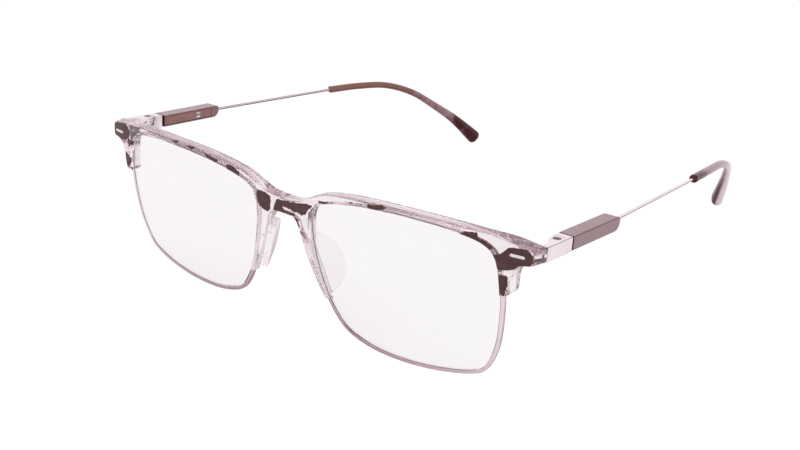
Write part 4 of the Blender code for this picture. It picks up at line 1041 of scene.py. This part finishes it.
def show_fine_pieces():
    """Finer pieces for what shows closely, each in place of its CAD node."""
    lens = clear_solid("lens_glass", LENS_TINT, 0.01, LENS_IOR, LENS_ABSORBS, LENS_DENSITY)
    rim = metal("rim_metal", ROSE, 0.22)
    pad = clear_solid("clear_silicone", PAD_TINT, 0.04, PAD_IOR, PAD_ABSORBS, PAD_DENSITY)
    wire = drawn_wire()
    tips = [tip_acetate(side, outwards) for side, outwards in SIDES]
    stand_in(make_front(), "front_frame_fine", "front", acetate_front(),
             "front_frame")
    paired(make_lens(), "lens", "front", (lens, lens))
    paired(make_rim(), "rim", "front", (rim, rim))
    paired(make_pad(), "nose_pad", "front", (pad, pad))
    paired(make_wire(), "temple_wire", "temple", (wire, wire))
    paired(make_tip(), "temple_tip", "temple", tips)


def dress_cad_pieces():
    """Materials for the CAD nodes that are shown themselves."""
    looks = {
        "rivet_plaque": ("plaque_metal", metal("plaque_metal", PLAQUE, 0.14)),
        "hinge_bracket": ("bracket_metal",
                          metal("bracket_metal", STEEL, 0.12, HINGE_GRAIN, HINGE_PAINTED_REFLECTION)),
        "hinge_leaf": ("leaf_metal", metal("leaf_metal", STEEL, 0.12, HINGE_GRAIN, HINGE_PAINTED_REFLECTION)),
        "hinge_screw": ("screw_steel", metal("screw_steel", SCREW, 0.3)),
        "module_gasket": ("dark_rubber", plastic("dark_rubber", RUBBER, 0.6)),
        "module_housing": ("housing_plastic", module_shell()),
        "module_cover": ("cover_plastic", plastic("cover_plastic", COVER, 0.25, coat=0.3)),
        "circuit_board": ("board_laminate", board_laminate()),
        "battery": ("cell_foil", cell_foil()),
        "charging_contact_upper": ("contact_plating", metal("contact_plating", PLATING, 0.15)),
        # the lower contacts keep the plain plating that came with the frame
        "charging_contact_lower": ("contact_plating", bpy.data.materials["contact_plating"]),
    }
    for label, (slot, material) in looks.items():
        for side, _ in SIDES:
            dress(f"{label}_{side}", material)


# ---------------------------------------------------------------- stage, light and camera

CAMERA_AZIMUTH, CAMERA_ELEVATION, CAMERA_ROLL = radians(38.7), radians(22.6), radians(0.61)
CAMERA_DISTANCE = 306.7
CAMERA_RIGHT, CAMERA_UP = 26.8, 23.9
FOCAL_LENGTH, CLIP_START = 53.73, 0.01
WORLD_BAND = [(0.44, (1.0, 0.91, 0.94)), (0.54, (0.46, 0.31, 0.36)), (0.76, (0.50, 0.34, 0.40)),
              (0.92, (1.0, 0.91, 0.94))]
LAMP_COLOUR = (1.0, 0.90, 0.93)
# place and size in metres, power in watts
LAMPS = {"key": ((-0.35, -0.55, 0.75), (0.6, 0.4), 0.8), "top": ((0.1, 0.1, 0.9), (0.5, 0.5), 1.0)}
MOST_BOUNCES, GLOSSY_BOUNCES = 24, 16
TABLE_HALF, TABLE_GAP = 3.0, 0.0002     # metres
SHADE_REACH = 140.0       # mirrored, the table is shaded in a ring within this radius (mm)
SHADE = [(0.20, (0.92, 0.84, 0.87)), (0.34, (0.40, 0.28, 0.32)), (0.54, (0.40, 0.28, 0.32)),
         (0.72, (0.92, 0.84, 0.87))]


def make_camera():
    """Camera to the right of the front and a little above it."""
    back = Vector((sin(CAMERA_AZIMUTH) * cos(CAMERA_ELEVATION),
                   -cos(CAMERA_AZIMUTH) * cos(CAMERA_ELEVATION), sin(CAMERA_ELEVATION)))
    right = Vector((cos(CAMERA_AZIMUTH), sin(CAMERA_AZIMUTH), 0))
    up = back.cross(right)
    turn = Matrix.Rotation(CAMERA_ROLL, 3, back)
    right, up = turn @ right, turn @ up
    place = back * CAMERA_DISTANCE + right * CAMERA_RIGHT + up * CAMERA_UP
    place += Vector((0, DATUM_Y, 0))
    data = bpy.data.cameras.new("camera")
    data.lens = FOCAL_LENGTH
    camera = bpy.data.objects.new("camera", data)
    camera.matrix_world = (Matrix.Translation(place * MM)
                           @ Matrix((right, up, back)).transposed().to_4x4())
    data.clip_start = CLIP_START
    bpy.context.scene.collection.objects.link(camera)
    bpy.context.scene.camera = camera


def make_floor():
    """Plain white table that glows a little, so that it stays white round the object."""
    bm = bmesh.new()
    bmesh.ops.create_grid(bm, x_segments=2, y_segments=2, size=TABLE_HALF)
    floor = object_of("floor", bm)
    floor.location.z = -TABLE_GAP
    look = Look("white_table")
    grain = look.noise(feature=2.0)
    tone = look.blend(grain, TABLE_DARK, TABLE_LIGHT)
    ray = look.node("ShaderNodeLightPath")
    spot = look.vector_math("MULTIPLY", look.place, (1, 1, 0))
    far = look.between(look.vector_math("LENGTH", spot, (0, 0, 0)), 0.0, SHADE_REACH, 0.0, 1.0)
    seen = look.ramp(far, SHADE)
    glow = look.mix(ray.outputs["Is Reflection Ray"], (1.0, 1.0, 1.0), seen)
    look.surface(tone, look.spread(grain, 0.6, 0.7), Specular_IOR_Level=0.0, Emission_Color=glow,
                 Emission_Strength=1.0)
    floor.data.materials.append(look.material)


def make_world():
    """White surroundings with a darker, warmer band above the horizon."""
    world = bpy.data.worlds.new("studio")
    world.use_nodes = True
    tree = world.node_tree
    source = tree.nodes.new("ShaderNodeTexCoord")
    split = tree.nodes.new("ShaderNodeSeparateXYZ")
    ramp = tree.nodes.new("ShaderNodeValToRGB")
    tree.links.new(source.outputs["Generated"], split.inputs[0])
    tree.links.new(split.outputs["Z"], ramp.inputs["Fac"])
    set_stops(ramp.color_ramp, WORLD_BAND)
    tree.links.new(ramp.outputs["Color"], tree.nodes["Background"].inputs["Color"])
    bpy.context.scene.world = world


def make_lamp(name, place, size, power):
    """Large soft lamp that faces the object."""
    data = bpy.data.lights.new(name, "AREA")
    data.shape = "RECTANGLE"
    data.size, data.size_y = size
    data.energy = power
    data.color = LAMP_COLOUR
    lamp = bpy.data.objects.new(name, data)
    lamp.location = place
    lamp.rotation_euler = (-Vector(place)).to_track_quat("-Z", "Y").to_euler()
    bpy.context.scene.collection.objects.link(lamp)


def make_studio():
    cycles = bpy.context.scene.cycles
    cycles.max_bounces = cycles.transmission_bounces = MOST_BOUNCES
    cycles.glossy_bounces = GLOSSY_BOUNCES
    make_floor()
    make_world()
    for name, (place, size, power) in LAMPS.items():
        make_lamp(name, place, size, power)
    make_camera()
    bpy.context.scene.view_settings.view_transform = "Standard"


show_fine_pieces()
dress_cad_pieces()
make_studio()
